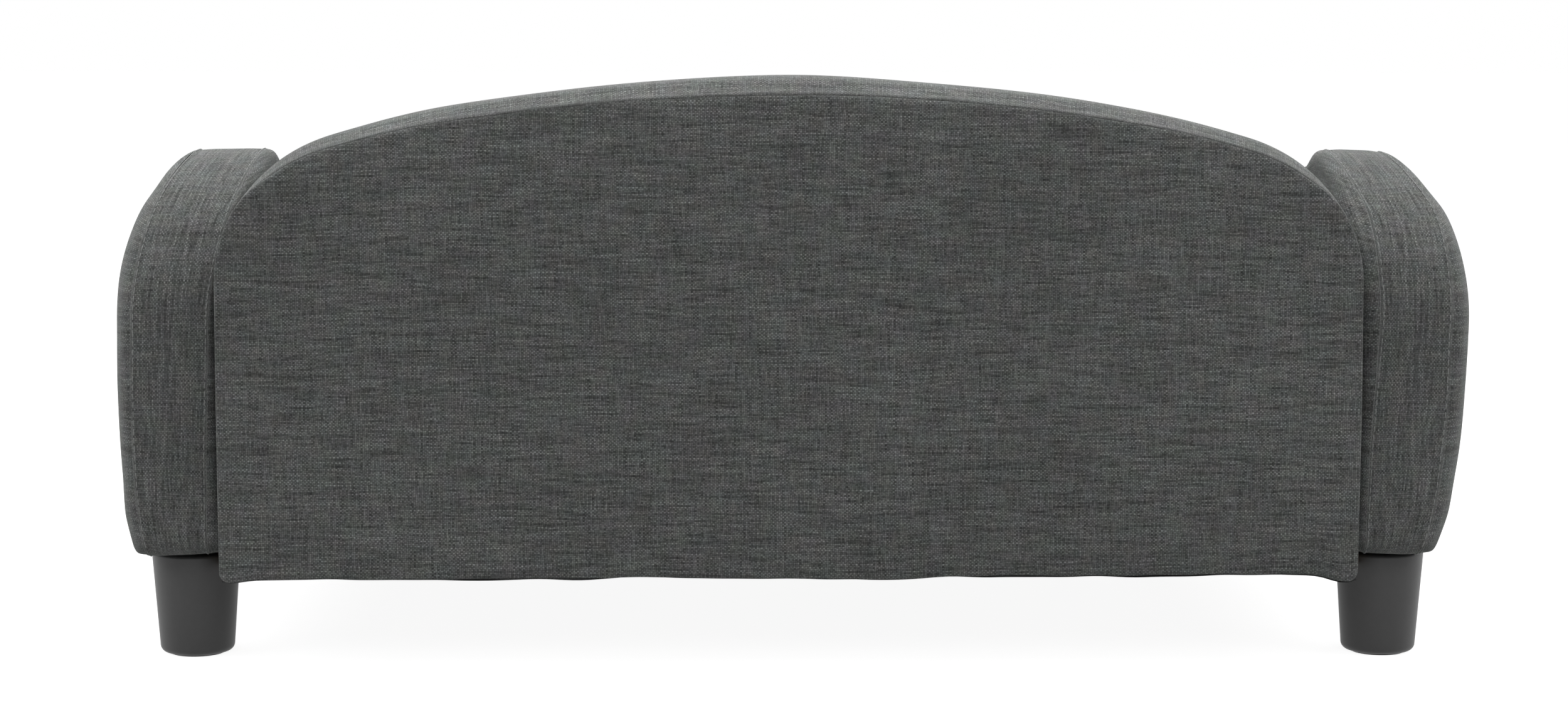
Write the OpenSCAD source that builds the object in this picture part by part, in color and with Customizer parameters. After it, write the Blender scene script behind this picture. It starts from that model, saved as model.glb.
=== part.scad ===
// Pet sofa bed: two padded box arms, an arched backrest, a decked seat base, a loose cushion
// and four screw-in legs. X runs across the bed, the front faces -Y and the floor is z = 0.

/* [Overall] */
// Width over both arms
bed_w = 800; // [700:10:1000]
// Depth from the arm fronts to the rear of the backrest
bed_d = 500; // [440:10:600]
// Height of the crest of the backrest above the floor
bed_h = 350; // [330:2:400]
// Thickness of the woven cover
cloth = 1.2; // [0.8:0.1:1.6]

/* [Legs] */
// Height of a leg, with its glide
leg_h = 62.5; // [50:0.5:90]
// Width of a leg under the arm
leg_top_d = 52.6; // [46:0.2:58]
// Width of a leg at the floor
leg_foot_d = 44.6; // [38:0.2:48]
// Rounding of the leg's upper and lower rim
leg_rim_r = 2.2; // [1:0.1:3]
// Distance of a leg's centre from the arm's front or rear
leg_inset = 50; // [50:1:90]
// Diameter of the felt glide
glide_d = 32; // [20:1:34]
// Thickness of the felt glide
glide_t = 3; // [2:0.5:5]
// How far the glide stands out under the leg
glide_out = 1; // [0.5:0.1:1.5]
// Diameter of the threaded stud
stud_d = 8; // [6:0.5:10]
// Clearance between a leg's top and the base beside it
leg_gap = 1; // [0.5:0.1:2]
// Depth of the stud in the leg
stud_depth = 28; // [15:1:35]
// Diameter of the spacer washer between leg and arm
washer_d = 36; // [24:1:44]
// Thickness of the spacer washer
washer_t = 4; // [2:0.5:6]

/* [Arms] */
// Height of an arm above its underside, at the rear
arm_h = 237; // [220:1:242]
// How much lower the front of the arm is
arm_front_drop = 30; // [0:1:50]
// Radius of the rear upper corner
arm_rear_r = 100; // [60:1:105]
// Radius of the front upper corner
arm_front_r = 80; // [50:1:100]
// Radius of the lower corners
arm_foot_r = 12; // [8:1:12]
// How far the arm's rear stands in front of the backrest's rear
arm_setback = 12; // [0:1:20]
// Width of the boxing band between its two seams
band_w = 42; // [40:0.5:46]
// How far the outer cover bulges past its seam
side_bulge = 13.5; // [10:0.5:16]
// Distance over which a cover rounds off towards its seam
dome_len = 40; // [20:1:50]
// Height of the fullest part above the arm's underside
arm_full_h = 138; // [130:1:160]
// Radius at which the upper half leans in over the seat
arm_lean_r = 220; // [216:4:800]
// Radius at which the lower half tucks in
arm_tuck_r = 860; // [600:10:1200]
// Width of the wooden box inside an arm
arm_box_w = 34; // [32:0.5:36]
// Distance from the wooden box to the outside of the arm
outer_pad_t = 26; // [25.5:0.5:28]
// Thickness of the foam on the seat side
inner_pad_t = 3.5; // [2:0.5:5]
// Thickness of the foam around the edge
edge_pad_t = 12; // [8:0.5:16]
// Thickness of the arm's plywood plates
plate_t = 6; // [4:0.5:7]
// Height of the rail that the legs screw into
arm_rail_h = 18; // [14:0.5:18]
// Width of the arm's posts and top rail
arm_post_w = 24; // [16:1:26]

/* [Backrest] */
// Thickness of the backrest, seam to seam
back_t = 60; // [58:1:70]
// Radius of the long arch
arch_r = 1100; // [900:10:1400]
// Radius of the shoulders
shoulder_r = 88; // [60:1:100]
// Radius of the lower corners
back_foot_r = 8; // [4:1:12]
// Height of the crown between the front and rear seam
crown = 10; // [5:0.5:12]
// Distance over which the crown falls to the seam
crown_len = 16; // [10:1:20]
// Gap between the backrest and each arm, at its fullest
back_gap = 2.8; // [2.4:0.1:5]
// Thickness of the plywood back board
board_t = 5; // [4:0.5:6]
// Thickness of the hoop, rail and posts behind the board
hoop_t = 20; // [18:0.5:22]
// Width of the hoop and the posts
hoop_w = 26; // [20:1:34]
// Height of the backrest's bottom rail
back_rail_h = 52; // [50:1:60]
// Thickness of the wadding behind the hoop
wadding_t = 5.8; // [4:0.2:7]
// Height at which the front foam starts, above the deck
back_pad_rise = 50; // [44:1:60]
// Distance of each inner post from the middle
post_x = 118; // [80:2:200]

/* [Seat base] */
// Depth of the base below the underside of the arms
base_drop = 10; // [4:1:14]
// Height of the rails
rail_h = 50; // [46:1:56]
// Thickness of the rails
rail_t = 18; // [15:0.5:22]
// Thickness of the plywood deck
deck_t = 9; // [6:0.5:12]
// Thickness of the foam on the front rail
front_pad_t = 8; // [4:0.5:12]
// Setback of the base's front behind the arms' fronts
front_setback = 8; // [4:1:20]
// Diameter of the vent holes in the deck
vent_d = 25; // [15:1:35]
// Leg length of the corner blocks
block_w = 40; // [25:1:50]
// Thickness of the black cover under the base
dust_t = 1; // [0.6:0.1:1.4]

/* [Cushion] */
// Thickness of the seat cushion at its border
cushion_h = 61; // [50:1:66]
// How much higher the middle of the cushion is
cushion_crown = 5; // [2:0.5:8]
// Gap between the cushion and each arm
cushion_side_gap = 8; // [7.5:0.5:20]
// Gap between the cushion and the backrest's foam
cushion_rear_gap = 6; // [5:0.5:12]
// Setback of the cushion behind the arms' fronts
cushion_front_gap = 7; // [4:0.5:20]
// Radius of the cushion's corners, seen from above
cushion_r = 28; // [16:1:40]
// Rounding of the cushion's edges
cushion_edge = 8; // [5:0.5:12]
// Clearance between parts that lie loose on each other
loose_gap = 0.3; // [0.2:0.05:0.6]

/* [Zip] */
// Distance from either end of the zip to the cushion's side
zip_end_gap = 47; // [40:1:160]
// Width of the zip tape that shows
zip_tape_w = 20; // [16:1:24]
// Width of the zip's coil
coil_w = 5; // [4:0.5:6]
// Height of the coil above the tape
coil_h = 0.8; // [0.5:0.1:1.2]
// Height of the zip above the cushion's underside
zip_rise = 27; // [22:1:30]
// Length of the slider
slider_l = 11; // [9:0.5:14]
// Length of the pull
pull_l = 20; // [14:0.5:24]
// Width of the pull
pull_w = 6.5; // [6:0.1:7.5]
// Thickness of the pull
pull_t = 1.3; // [1:0.1:1.6]
// Diameter of the pull's pin
pin_d = 1.6; // [1.4:0.1:1.8]

/* [Fasteners] */
// Diameter of the assembly bolts
bolt_d = 6; // [5:0.5:7]
// Diameter of the bolt heads
bolt_head_d = 13; // [11:0.5:14]
// Height of the bolt heads
bolt_head_h = 3.5; // [3:0.5:5]
// Wall of a tee nut's barrel and of an insert nut
nut_wall = 1.5; // [1:0.1:2]
// Width of a tee nut's flange beyond its barrel
nut_flange = 4; // [2:0.5:4.5]
// Thickness of a tee nut's flange
nut_flange_t = 1.4; // [1:0.1:2]
// Distance of the side bolts from the corner blocks
side_bolt_gap = 20; // [10:1:60]
// Distance of the outer rear bolts from the corner blocks
rear_bolt_gap = 40; // [10:1:80]
// Height of the bolts above the underside of the base
bolt_rise = 40; // [38:0.5:42]
// Clearance around a bolt in wood, all round
bolt_play = 0.4; // [0.2:0.1:0.8]
// Clearance between a bolt and its nut, all round
nut_play = 0.1; // [0.05:0.01:0.2]

/* [Hidden] */
$fn = 64;
HULL_FN = 28;            // sides of the round parts inside a hull
REACH = 2000;            // reach of cutting blocks, longer than the bed
ARC_STEPS = 7;           // steps in a round corner of a padded form
FOOT_STEPS = 2;          // steps in a small lower corner
BOW_STEPS = 14;          // steps in a bowed seam line
DOME = [0, 0.12, 0.45, 1];  // where the rings of a dome lie, from seam to full height
INNER_DOME = [0, 0.4, 1];
OVERSHOOT = 3;           // how far a form runs past the face that trims it

cloth_colour = "#4c504e";
black_colour = "#1c1c1c";
leg_colour = "#303030";
pine_colour = "#d9b884";
ply_colour = "#c79f68";
foam_colour = "#efe6c4";
wadding_colour = "#f5f5f0";
steel_colour = "#b8bcc0";

// Heights
arm_z = leg_h + washer_t;
arm_top = arm_z + arm_h;
arm_full_z = arm_z + arm_full_h;
base_z = arm_z - base_drop;
deck_z = base_z + rail_h;
deck_top = deck_z + deck_t + cloth;
bolt_z = base_z + bolt_rise;
back_pad_z = deck_top + back_pad_rise;

// Across the bed
outer_x = bed_w / 2;
box_out = outer_x - outer_pad_t;
box_in = box_out - arm_box_w;
seat_half = box_in - cloth;
pad_face = seat_half - inner_pad_t;
seam_out = outer_x - side_bulge;
seam_in = seam_out - band_w;
leg_x = (box_in + box_out) / 2;
back_half = pad_face - back_gap;

// Along the bed
front_y = -bed_d / 2;
rear_y = bed_d / 2;
arm_rear_y = rear_y - arm_setback;
leg_ys = [front_y + leg_inset, arm_rear_y - leg_inset];
hoop_y = rear_y - cloth - wadding_t - hoop_t;
board_y = hoop_y - board_t;
back_low_y = board_y - cloth;
back_front_y = rear_y - back_t;
base_front_y = front_y + front_setback;
front_rail_y = base_front_y + cloth + front_pad_t;
rear_rail_y = back_low_y - rail_t;
rear_bolt_x = seat_half - rail_t - block_w - rear_bolt_gap;
rear_bolt_xs = [for (share = [-1:2/3:1]) share * rear_bolt_x];
side_bolt_ys = [front_rail_y + rail_t + block_w + side_bolt_gap, rear_rail_y - block_w - side_bolt_gap];

// Frame members
box_inset = cloth + edge_pad_t;
box_floor = arm_z + cloth;
spacer_w = arm_box_w - 2 * plate_t;
back_floor = base_z + cloth;
hoop_foot_z = back_floor + back_rail_h;

// Cushion and zip
cushion_half = pad_face - cushion_side_gap;
cushion_front_y = front_y + cushion_front_gap;
cushion_rear_y = back_front_y - cushion_rear_gap;
cushion_z = deck_top + loose_gap;
zip_z = cushion_z + zip_rise;
zip_len = 2 * (cushion_half - zip_end_gap);
slider_x = zip_len / 2 - slider_l;
slider_foot_y = cushion_rear_y + loose_gap;
slider_plate_y = cushion_rear_y + coil_h + loose_gap;
slider_plate_t = 1.6;
slider_w = 9;
lug_t = 1.2;
pin_r = pin_d / 2;
eye_r = pin_r + 1;
pin_play = 0.08;
pin_x = slider_x;
pin_y = slider_plate_y + slider_plate_t + eye_r + loose_gap;
pull_gap = pull_w / 2 - lug_t;

// ---------------------------------------------------------------- shared forms

function arc(cy, cz, r, start, steps) =
    [for (i = [0:steps]) let (a = start + 90 * i / steps) [cy + r * cos(a), cz + r * sin(a)]];

// How far a padded cover has sunk at a share s of the way from its full height to its seam
function sink(s) = 1 - sqrt(1 - s * s);

// A block that reaches far in x and y, and from z0 to z1
module layer(z0, z1) {
    translate([-REACH / 2, -REACH / 2, z0]) cube([REACH, REACH, z1 - z0]);
}

// A block that reaches far in x and z, and from y0 to y1
module slab(y0, y1) {
    translate([-REACH / 2, y0, -REACH / 2]) cube([REACH, y1 - y0, REACH]);
}

// A block that reaches far in y and z, and from x0 to x1
module wall(x0, x1) {
    translate([x0, -REACH / 2, -REACH / 2]) cube([x1 - x0, REACH, REACH]);
}

// Stands a drawing made in (y, z) up at x0 and gives it thickness t along x
module side_plate(x0, t) {
    translate([x0, 0, 0]) rotate([90, 0, 90]) linear_extrude(t) children();
}

// Stands a drawing made in (x, z) up at y0 and gives it thickness t along y
module face_plate(y0, t) {
    translate([0, y0 + t, 0]) rotate([90, 0, 0]) linear_extrude(t) children();
}

module rod_x(x0, x1, y, z, d) {
    translate([x0, y, z]) rotate([0, 90, 0]) cylinder(d = d, h = x1 - x0);
}

module rod_y(x, y0, y1, z, d) {
    translate([x, y0, z]) rotate([-90, 0, 0]) cylinder(d = d, h = y1 - y0);
}

module rod_z(x, y, z0, z1, d) {
    translate([x, y, z0]) cylinder(d = d, h = z1 - z0);
}

// The right arm mirrors the left one
module right_side() {
    mirror([1, 0, 0]) children();
}

module both_sides() {
    children();
    right_side() children();
}

// ---------------------------------------------------------------- padded arm form

// How far the arm has moved in towards the seat at height z, outside and inside
function lean(z) = pow(max(0, z - arm_full_z), 2) / (2 * arm_lean_r);
function bow(z) = lean(z) + pow(min(0, z - arm_full_z), 2) / (2 * arm_tuck_r);

// Points along the arm's side outline, shrunk by inset, and by dome more except underneath
function arm_outline(inset, dome) =
    let (in = inset + dome, rear = max(arm_rear_r, in + 1), front = max(arm_front_r, in + 1),
         foot = arm_foot_r - inset, front_top = arm_top - arm_front_drop,
         side_zs = [for (share = [0.25, 0.5, 0.75]) arm_z + share * arm_full_h])
    concat(
        arc(arm_rear_y - rear, arm_top - rear, rear - in, 0, ARC_STEPS),
        arc(front_y + front, front_top - front, front - in, 90, ARC_STEPS),
        [for (z = side_zs) [front_y + in, z]],
        arc(front_y + in + foot, arm_z + inset + foot, foot, 180, FOOT_STEPS),
        arc(arm_rear_y - in - foot, arm_z + inset + foot, foot, 270, FOOT_STEPS),
        [for (z = side_zs) [arm_rear_y - in, z]]
    );

// The arm's padded form: a bowed band with a dome on either side, shrunk by inset
module arm_form(inset) {
    inner_bulge = seam_in - pad_face + OVERSHOOT;
    outer_rings = [for (s = DOME) for (p = arm_outline(inset, dome_len * s))
        [seam_out + side_bulge * (1 - sink(1 - s)) - inset - bow(p[1]), p[0], p[1]]];
    inner_rings = [for (s = INNER_DOME) for (p = arm_outline(inset, dome_len * s))
        [seam_in - inner_bulge * (1 - sink(1 - s)) + inset - lean(p[1]), p[0], p[1]]];
    rings = concat(outer_rings, inner_rings);
    difference() {
        hull() polyhedron(rings, [[for (i = [0:len(rings) - 1]) i]]);
        seat_side(inset);
    }
}

// Everything on the seat side of the arm's inner face, which steps in over the deck and then leans
module seat_side(inset) {
    face = [for (i = [0:BOW_STEPS])
        let (z = deck_top + inner_pad_t + (arm_top - deck_top) * i / BOW_STEPS)
        [pad_face + inset - lean(z), z]];
    profile = concat([[0, base_z], [seat_half + inset, base_z], [seat_half + inset, deck_top]],
        face, [[0, arm_top + inner_pad_t]]);
    face_plate(-REACH / 2, REACH) polygon(profile);
}

// Everything outside the outer seam, or outside the inner one
module past_outer_seam() {
    seam = [for (i = [0:BOW_STEPS]) let (z = arm_z + arm_h * i / BOW_STEPS) [seam_out - bow(z), z]];
    face_plate(-REACH / 2, REACH)
        polygon(concat([[REACH, base_z], [seam[0][0], base_z]], seam,
            [[seam[BOW_STEPS][0], arm_top + 1], [REACH, arm_top + 1]]));
}

module past_inner_seam() {
    seam = [for (i = [0:BOW_STEPS]) let (z = arm_z + arm_h * i / BOW_STEPS) [seam_in - lean(z), z]];
    face_plate(-REACH / 2, REACH)
        polygon(concat([[REACH, base_z], [seam_in, base_z]], seam,
            [[seam[BOW_STEPS][0], arm_top + 1], [REACH, arm_top + 1]]));
}

module arm_shell() {
    difference() {
        arm_form(0);
        arm_form(cloth);
    }
}

// ---------------------------------------------------------------- arm: wooden box

// Side outline of the wooden box, its lower corners rounded as the arm's are
module box_outline(extra = 0) {
    inset = box_inset + extra;
    hull() {
        translate([arm_rear_y - arm_rear_r, arm_top - arm_rear_r]) circle(r = arm_rear_r - inset);
        translate([front_y + arm_front_r, arm_top - arm_front_drop - arm_front_r])
            circle(r = arm_front_r - inset);
        for (y = [front_y + inset + arm_foot_r, arm_rear_y - inset - arm_foot_r])
            translate([y, box_floor + arm_foot_r]) circle(r = arm_foot_r);
    }
}

module above(z) {
    translate([-REACH / 2, z]) square([REACH, REACH]);
}

module strip(from, to) {
    translate([from, 0]) square([to - from, REACH]);
}

module arm_inner_plate() {
    color(ply_colour)
    difference() {
        side_plate(box_in, plate_t) box_outline();
        for (y = side_bolt_ys)
            rod_x(box_in - 1, box_in + plate_t + 1, y, bolt_z, bolt_d + 2 * nut_wall);
    }
}

module arm_outer_plate() {
    color(ply_colour) side_plate(box_out - plate_t, plate_t) box_outline();
}

module arm_bottom_rail() {
    color(pine_colour)
    difference() {
        side_plate(box_in + plate_t, spacer_w)
        difference() {
            box_outline();
            above(box_floor + arm_rail_h);
        }
        for (y = leg_ys) rod_z(leg_x, y, box_floor - 1, box_floor + arm_rail_h + 1, stud_d + 2 * nut_wall);
    }
}

module arm_front_post() {
    color(pine_colour)
    side_plate(box_in + plate_t, spacer_w)
    intersection() {
        box_outline();
        above(box_floor + arm_rail_h);
        strip(front_y + box_inset, front_y + box_inset + arm_post_w);
    }
}

module arm_rear_post() {
    color(pine_colour)
    side_plate(box_in + plate_t, spacer_w)
    intersection() {
        box_outline();
        above(box_floor + arm_rail_h);
        strip(arm_rear_y - box_inset - arm_post_w, arm_rear_y - box_inset);
    }
}

module arm_top_rail() {
    color(pine_colour)
    side_plate(box_in + plate_t, spacer_w)
    intersection() {
        difference() {
            box_outline();
            box_outline(arm_post_w);
        }
        above(arm_full_z);
        strip(front_y + box_inset + arm_post_w, arm_rear_y - box_inset - arm_post_w);
    }
}

// ---------------------------------------------------------------- arm: foam and cover

module arm_outer_pad() {
    color(foam_colour)
    intersection() {
        arm_form(cloth);
        wall(box_out, REACH / 2);
    }
}

module arm_inner_pad() {
    color(foam_colour)
    intersection() {
        arm_form(cloth);
        wall(0, box_in);
    }
}

module arm_edge_foam() {
    color(foam_colour)
    difference() {
        intersection() {
            arm_form(cloth);
            wall(box_in, box_out);
        }
        side_plate(box_in - 1, arm_box_w + 2) box_outline();
    }
}

module arm_outer_cover() {
    color(cloth_colour)
    intersection() {
        arm_shell();
        past_outer_seam();
    }
}

module arm_inner_cover() {
    color(cloth_colour)
    difference() {
        arm_shell();
        past_inner_seam();
        for (y = side_bolt_ys)
            rod_x(0, box_in + 1, y, bolt_z, bolt_d + 2 * bolt_play);
    }
}

module arm_boxing() {
    color(cloth_colour)
    difference() {
        intersection() {
            arm_shell();
            past_inner_seam();
        }
        past_outer_seam();
        for (y = leg_ys) rod_z(leg_x, y, arm_z - 1, box_floor + 1, stud_d + 2 * bolt_play);
    }
}

// ---------------------------------------------------------------- backrest form

// The shoulder's arc touches the arch inside and the backrest's side
arch_z = bed_h - arch_r;
shoulder_x = back_half - shoulder_r;
shoulder_z = arch_z + sqrt(pow(arch_r - shoulder_r, 2) - pow(shoulder_x, 2));
shoulder_a = atan2(shoulder_z - arch_z, shoulder_x);

// Right half of the outline, from the lower corner to the crest. The sides shrink by less than the
// arch does: side is their share of the inset.
function back_half_outline(inset, side) =
    let (in_at = function (a) inset * (side + (1 - side) * pow(sin(a), 2)))
    concat(
        arc(back_half - back_foot_r - in_at(0), base_z + back_foot_r, back_foot_r, 270, FOOT_STEPS),
        [for (i = [0:ARC_STEPS]) let (a = shoulder_a * i / ARC_STEPS)
            [shoulder_x + (shoulder_r - in_at(a)) * cos(a),
             shoulder_z + (shoulder_r - in_at(a)) * sin(a)]],
        [for (i = [1:ARC_STEPS]) let (a = shoulder_a + (90 - shoulder_a) * i / ARC_STEPS)
            [(arch_r - in_at(a)) * cos(a), arch_z + (arch_r - in_at(a)) * sin(a)]]
    );

// The other half, without a second point at the crest
function mirrored(points) = [for (i = [len(points) - 2:-1:0]) [-points[i][0], points[i][1]]];

function back_outline(inset, side) =
    let (half = back_half_outline(inset, side)) concat(half, mirrored(half));

// The backrest's padded form, shrunk by inset, with a lower front that has no foam
module back_form(inset) {
    rings = [for (s = DOME) for (p = back_outline(inset + crown * sink(1 - s), 0.25))
        for (y = [back_front_y + inset + crown_len * s, rear_y - inset - crown_len * s])
        [p[0], y, max(p[1], base_z + inset)]];
    difference() {
        hull() polyhedron(rings, [[for (i = [0:len(rings) - 1]) i]]);
        translate([-REACH / 2, back_front_y - 1, 0])
            cube([REACH, back_low_y + inset - back_front_y + 1, back_pad_z + inset]);
    }
}

module back_shell() {
    difference() {
        back_form(0);
        back_form(cloth);
    }
}

// The zone of the front cover: the foam's face, its underside and the bare board below
module back_front_zone() {
    slab(-REACH / 2, back_front_y + cloth);
    intersection() {
        slab(-REACH / 2, board_y);
        layer(0, back_pad_z + cloth);
    }
}

// Outline of the wooden parts, flat underneath
module hoop_outline(extra = 0) {
    intersection() {
        polygon(back_outline(box_inset + extra, 1));
        above(back_floor);
    }
}

// ---------------------------------------------------------------- backrest parts

module back_board() {
    color(ply_colour)
    difference() {
        face_plate(board_y, board_t) hoop_outline();
        for (x = rear_bolt_xs)
            rod_y(x, board_y - 1, hoop_y + 1, bolt_z, bolt_d + 2 * bolt_play);
    }
}

module back_hoop() {
    color(ply_colour)
    face_plate(hoop_y, hoop_t)
    intersection() {
        difference() {
            hoop_outline();
            hoop_outline(hoop_w);
        }
        above(hoop_foot_z);
    }
}

module back_bottom_rail() {
    color(pine_colour)
    difference() {
        face_plate(hoop_y, hoop_t)
        difference() {
            hoop_outline();
            above(hoop_foot_z);
        }
        for (x = rear_bolt_xs)
            rod_y(x, hoop_y - 1, rear_y, bolt_z, bolt_d + 2 * nut_wall);
    }
}

module back_post(x) {
    color(pine_colour)
    face_plate(hoop_y, hoop_t)
    intersection() {
        hoop_outline(hoop_w);
        above(hoop_foot_z);
        strip(x - hoop_w / 2, x + hoop_w / 2);
    }
}

module back_front_foam() {
    color(foam_colour)
    intersection() {
        back_form(cloth);
        slab(-REACH / 2, board_y);
        layer(back_pad_z + cloth, bed_h);
    }
}

module back_edge_foam() {
    color(foam_colour)
    difference() {
        intersection() {
            back_form(cloth);
            slab(board_y, hoop_y + hoop_t);
        }
        face_plate(board_y - 1, board_t + hoop_t + 2) hoop_outline();
    }
}

module back_wadding() {
    color(wadding_colour)
    intersection() {
        back_form(cloth);
        slab(hoop_y + hoop_t, rear_y);
    }
}

module back_front_cover() {
    color(cloth_colour)
    difference() {
        intersection() {
            back_shell();
            back_front_zone();
        }
        for (x = rear_bolt_xs)
            rod_y(x, back_front_y, board_y + 1, bolt_z, bolt_d + 2 * bolt_play);
    }
}

module back_rear_cover() {
    color(cloth_colour)
    intersection() {
        back_form(0);
        slab(rear_y - cloth, rear_y + 1);
    }
}

module back_boxing() {
    color(cloth_colour)
    difference() {
        back_shell();
        back_front_zone();
        slab(rear_y - cloth, rear_y + 1);
    }
}

// ---------------------------------------------------------------- seat base

// Room for the legs' tops, which stand beside the lower edge of the base
module leg_room() {
    at_legs() cylinder(d = leg_top_d + 2 * leg_gap, h = arm_z);
}

module front_rail() {
    color(pine_colour)
    difference() {
        translate([-seat_half, front_rail_y, base_z]) cube([2 * seat_half, rail_t, rail_h]);
        leg_room();
    }
}

module rear_rail() {
    color(pine_colour)
    difference() {
        translate([-seat_half, rear_rail_y, base_z]) cube([2 * seat_half, rail_t, rail_h]);
        for (x = rear_bolt_xs)
            rod_y(x, rear_rail_y - 1, back_low_y + 1, bolt_z, bolt_d + 2 * bolt_play);
        leg_room();
    }
}

module side_rail() {
    color(pine_colour)
    difference() {
        translate([seat_half - rail_t, front_rail_y + rail_t, base_z])
            cube([rail_t, rear_rail_y - front_rail_y - rail_t, rail_h]);
        for (y = side_bolt_ys)
            rod_x(seat_half - rail_t - 1, seat_half + 1, y, bolt_z, bolt_d + 2 * bolt_play);
        leg_room();
    }
}

module centre_rail() {
    color(pine_colour)
    translate([-rail_t / 2, front_rail_y + rail_t, base_z])
        cube([rail_t, rear_rail_y - front_rail_y - rail_t, rail_h]);
}

// Triangular blocks glued into the four corners of the base
module corner_blocks() {
    color(pine_colour)
    both_sides() {
        translate([seat_half - rail_t, front_rail_y + rail_t, deck_z - block_w])
            linear_extrude(block_w) polygon([[0, 0], [0, block_w], [-block_w, 0]]);
        translate([seat_half - rail_t, rear_rail_y, deck_z - block_w])
            linear_extrude(block_w) polygon([[0, 0], [-block_w, 0], [0, -block_w]]);
    }
}

module deck_board() {
    columns = 3;
    rows = 2;
    pitch_x = (seat_half - rail_t) / (columns + 1);
    pitch_y = (back_low_y - front_rail_y) / (rows + 1);
    color(ply_colour)
    difference() {
        translate([-seat_half, front_rail_y, deck_z])
            cube([2 * seat_half, back_low_y - front_rail_y, deck_t]);
        both_sides()
            for (i = [1:columns])
                for (j = [1:rows])
                    rod_z(i * pitch_x, front_rail_y + j * pitch_y, deck_z - 1, deck_top, vent_d);
    }
}

module front_pad() {
    color(foam_colour)
    translate([-seat_half, base_front_y + cloth, base_z])
        cube([2 * seat_half, front_pad_t, rail_h + deck_t]);
}

// One cloth runs over the deck and down the padded front rail
module seat_cover() {
    color(cloth_colour)
    union() {
        translate([-seat_half, base_front_y, deck_top - cloth])
            cube([2 * seat_half, back_low_y - base_front_y, cloth]);
        translate([-seat_half, base_front_y, base_z])
            cube([2 * seat_half, cloth, rail_h + deck_t + cloth]);
    }
}

module dust_cover() {
    color(black_colour)
    difference() {
        translate([-back_half, base_front_y, base_z - dust_t])
            cube([2 * back_half, rear_y - base_front_y, dust_t]);
        leg_room();
    }
}

// ---------------------------------------------------------------- cushion

module cushion_plan(inset) {
    r = cushion_r - inset;
    hull()
    for (x = [-1, 1])
        for (y = [cushion_front_y + cushion_r, cushion_rear_y - cushion_r])
            translate([x * (cushion_half - cushion_r), y]) circle(r = r, $fn = HULL_FN);
}

// A slab with rounded edges and a slightly crowned top, shrunk by inset
module cushion_form(inset) {
    crown_inset = 2 * cushion_r;
    hull() {
        for (s = [0, 0.4, 1])
            translate([0, 0, cushion_z + inset + cushion_edge * s])
                linear_extrude(cushion_h - 2 * inset - 2 * cushion_edge * s)
                    cushion_plan(inset + cushion_edge * sink(1 - s));
        translate([crown_inset - cushion_half, cushion_front_y + crown_inset, cushion_z + cushion_h / 2])
            cube([2 * (cushion_half - crown_inset), cushion_rear_y - cushion_front_y - 2 * crown_inset,
                cushion_h / 2 + cushion_crown - inset]);
    }
}

module zip_slot() {
    translate([-zip_len / 2, cushion_rear_y - 2 * cloth, zip_z - zip_tape_w / 2])
        cube([zip_len, 3 * cloth, zip_tape_w]);
}

module cushion_foam() {
    color(foam_colour) cushion_form(cloth);
}

module cushion_cover() {
    color(cloth_colour)
    difference() {
        cushion_form(0);
        cushion_form(cloth);
        zip_slot();
    }
}

// ---------------------------------------------------------------- zip

module zip_chain() {
    color(black_colour)
    union() {
        translate([-zip_len / 2, cushion_rear_y - cloth, zip_z - zip_tape_w / 2])
            cube([zip_len, cloth, zip_tape_w]);
        translate([-zip_len / 2, cushion_rear_y - cloth, zip_z - coil_w / 2])
            cube([zip_len, cloth + coil_h, coil_w]);
    }
}

// A channel that rides over the coil, with two lugs and the pull's pin
module zip_slider() {
    color(steel_colour)
    difference() {
        union() {
            translate([slider_x - slider_l / 2, slider_foot_y, zip_z - slider_w / 2])
                cube([slider_l, slider_plate_y + slider_plate_t - slider_foot_y, slider_w]);
            for (side = [-1, 1])
                translate([0, 0, zip_z + side * (pull_gap + lug_t / 2) - lug_t / 2]) slider_lug();
            rod_z(pin_x, pin_y, zip_z - pull_gap - lug_t, zip_z + pull_gap + lug_t, pin_d);
        }
        translate([slider_x - slider_l, cushion_rear_y, zip_z - coil_w / 2 - loose_gap])
            cube([2 * slider_l, slider_plate_y - cushion_rear_y, coil_w + 2 * loose_gap]);
    }
}

module slider_lug() {
    translate([pin_x, pin_y, 0]) cylinder(r = eye_r, h = lug_t);
    translate([pin_x - eye_r, slider_plate_y, 0]) cube([2 * eye_r, pin_y - slider_plate_y, lug_t]);
}

// A flat tab whose eye turns on the slider's pin between the lugs
module zip_pull() {
    eye_w = 2 * (pull_gap - loose_gap);
    color(steel_colour)
    difference() {
        union() {
            rod_z(pin_x, pin_y, zip_z - eye_w / 2, zip_z + eye_w / 2, 2 * eye_r);
            translate([pin_x - 2 * eye_r, pin_y - pull_t / 2, zip_z - eye_w / 2])
                cube([2 * eye_r, pull_t, eye_w]);
            translate([pin_x, pin_y + pull_t / 2, zip_z]) rotate([90, 0, 0]) linear_extrude(pull_t)
                hull() {
                    translate([-2 * eye_r, 0]) square([eye_r, eye_w], center = true);
                    translate([pull_w / 2 - pull_l, 0]) circle(d = pull_w);
                }
        }
        rod_z(pin_x, pin_y, zip_z - eye_w, zip_z + eye_w, pin_d + 2 * pin_play);
        rod_y(pin_x + pull_w / 2 - pull_l, pin_y - pull_t, pin_y + pull_t, zip_z, pull_w / 2);
    }
}

// ---------------------------------------------------------------- legs

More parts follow.
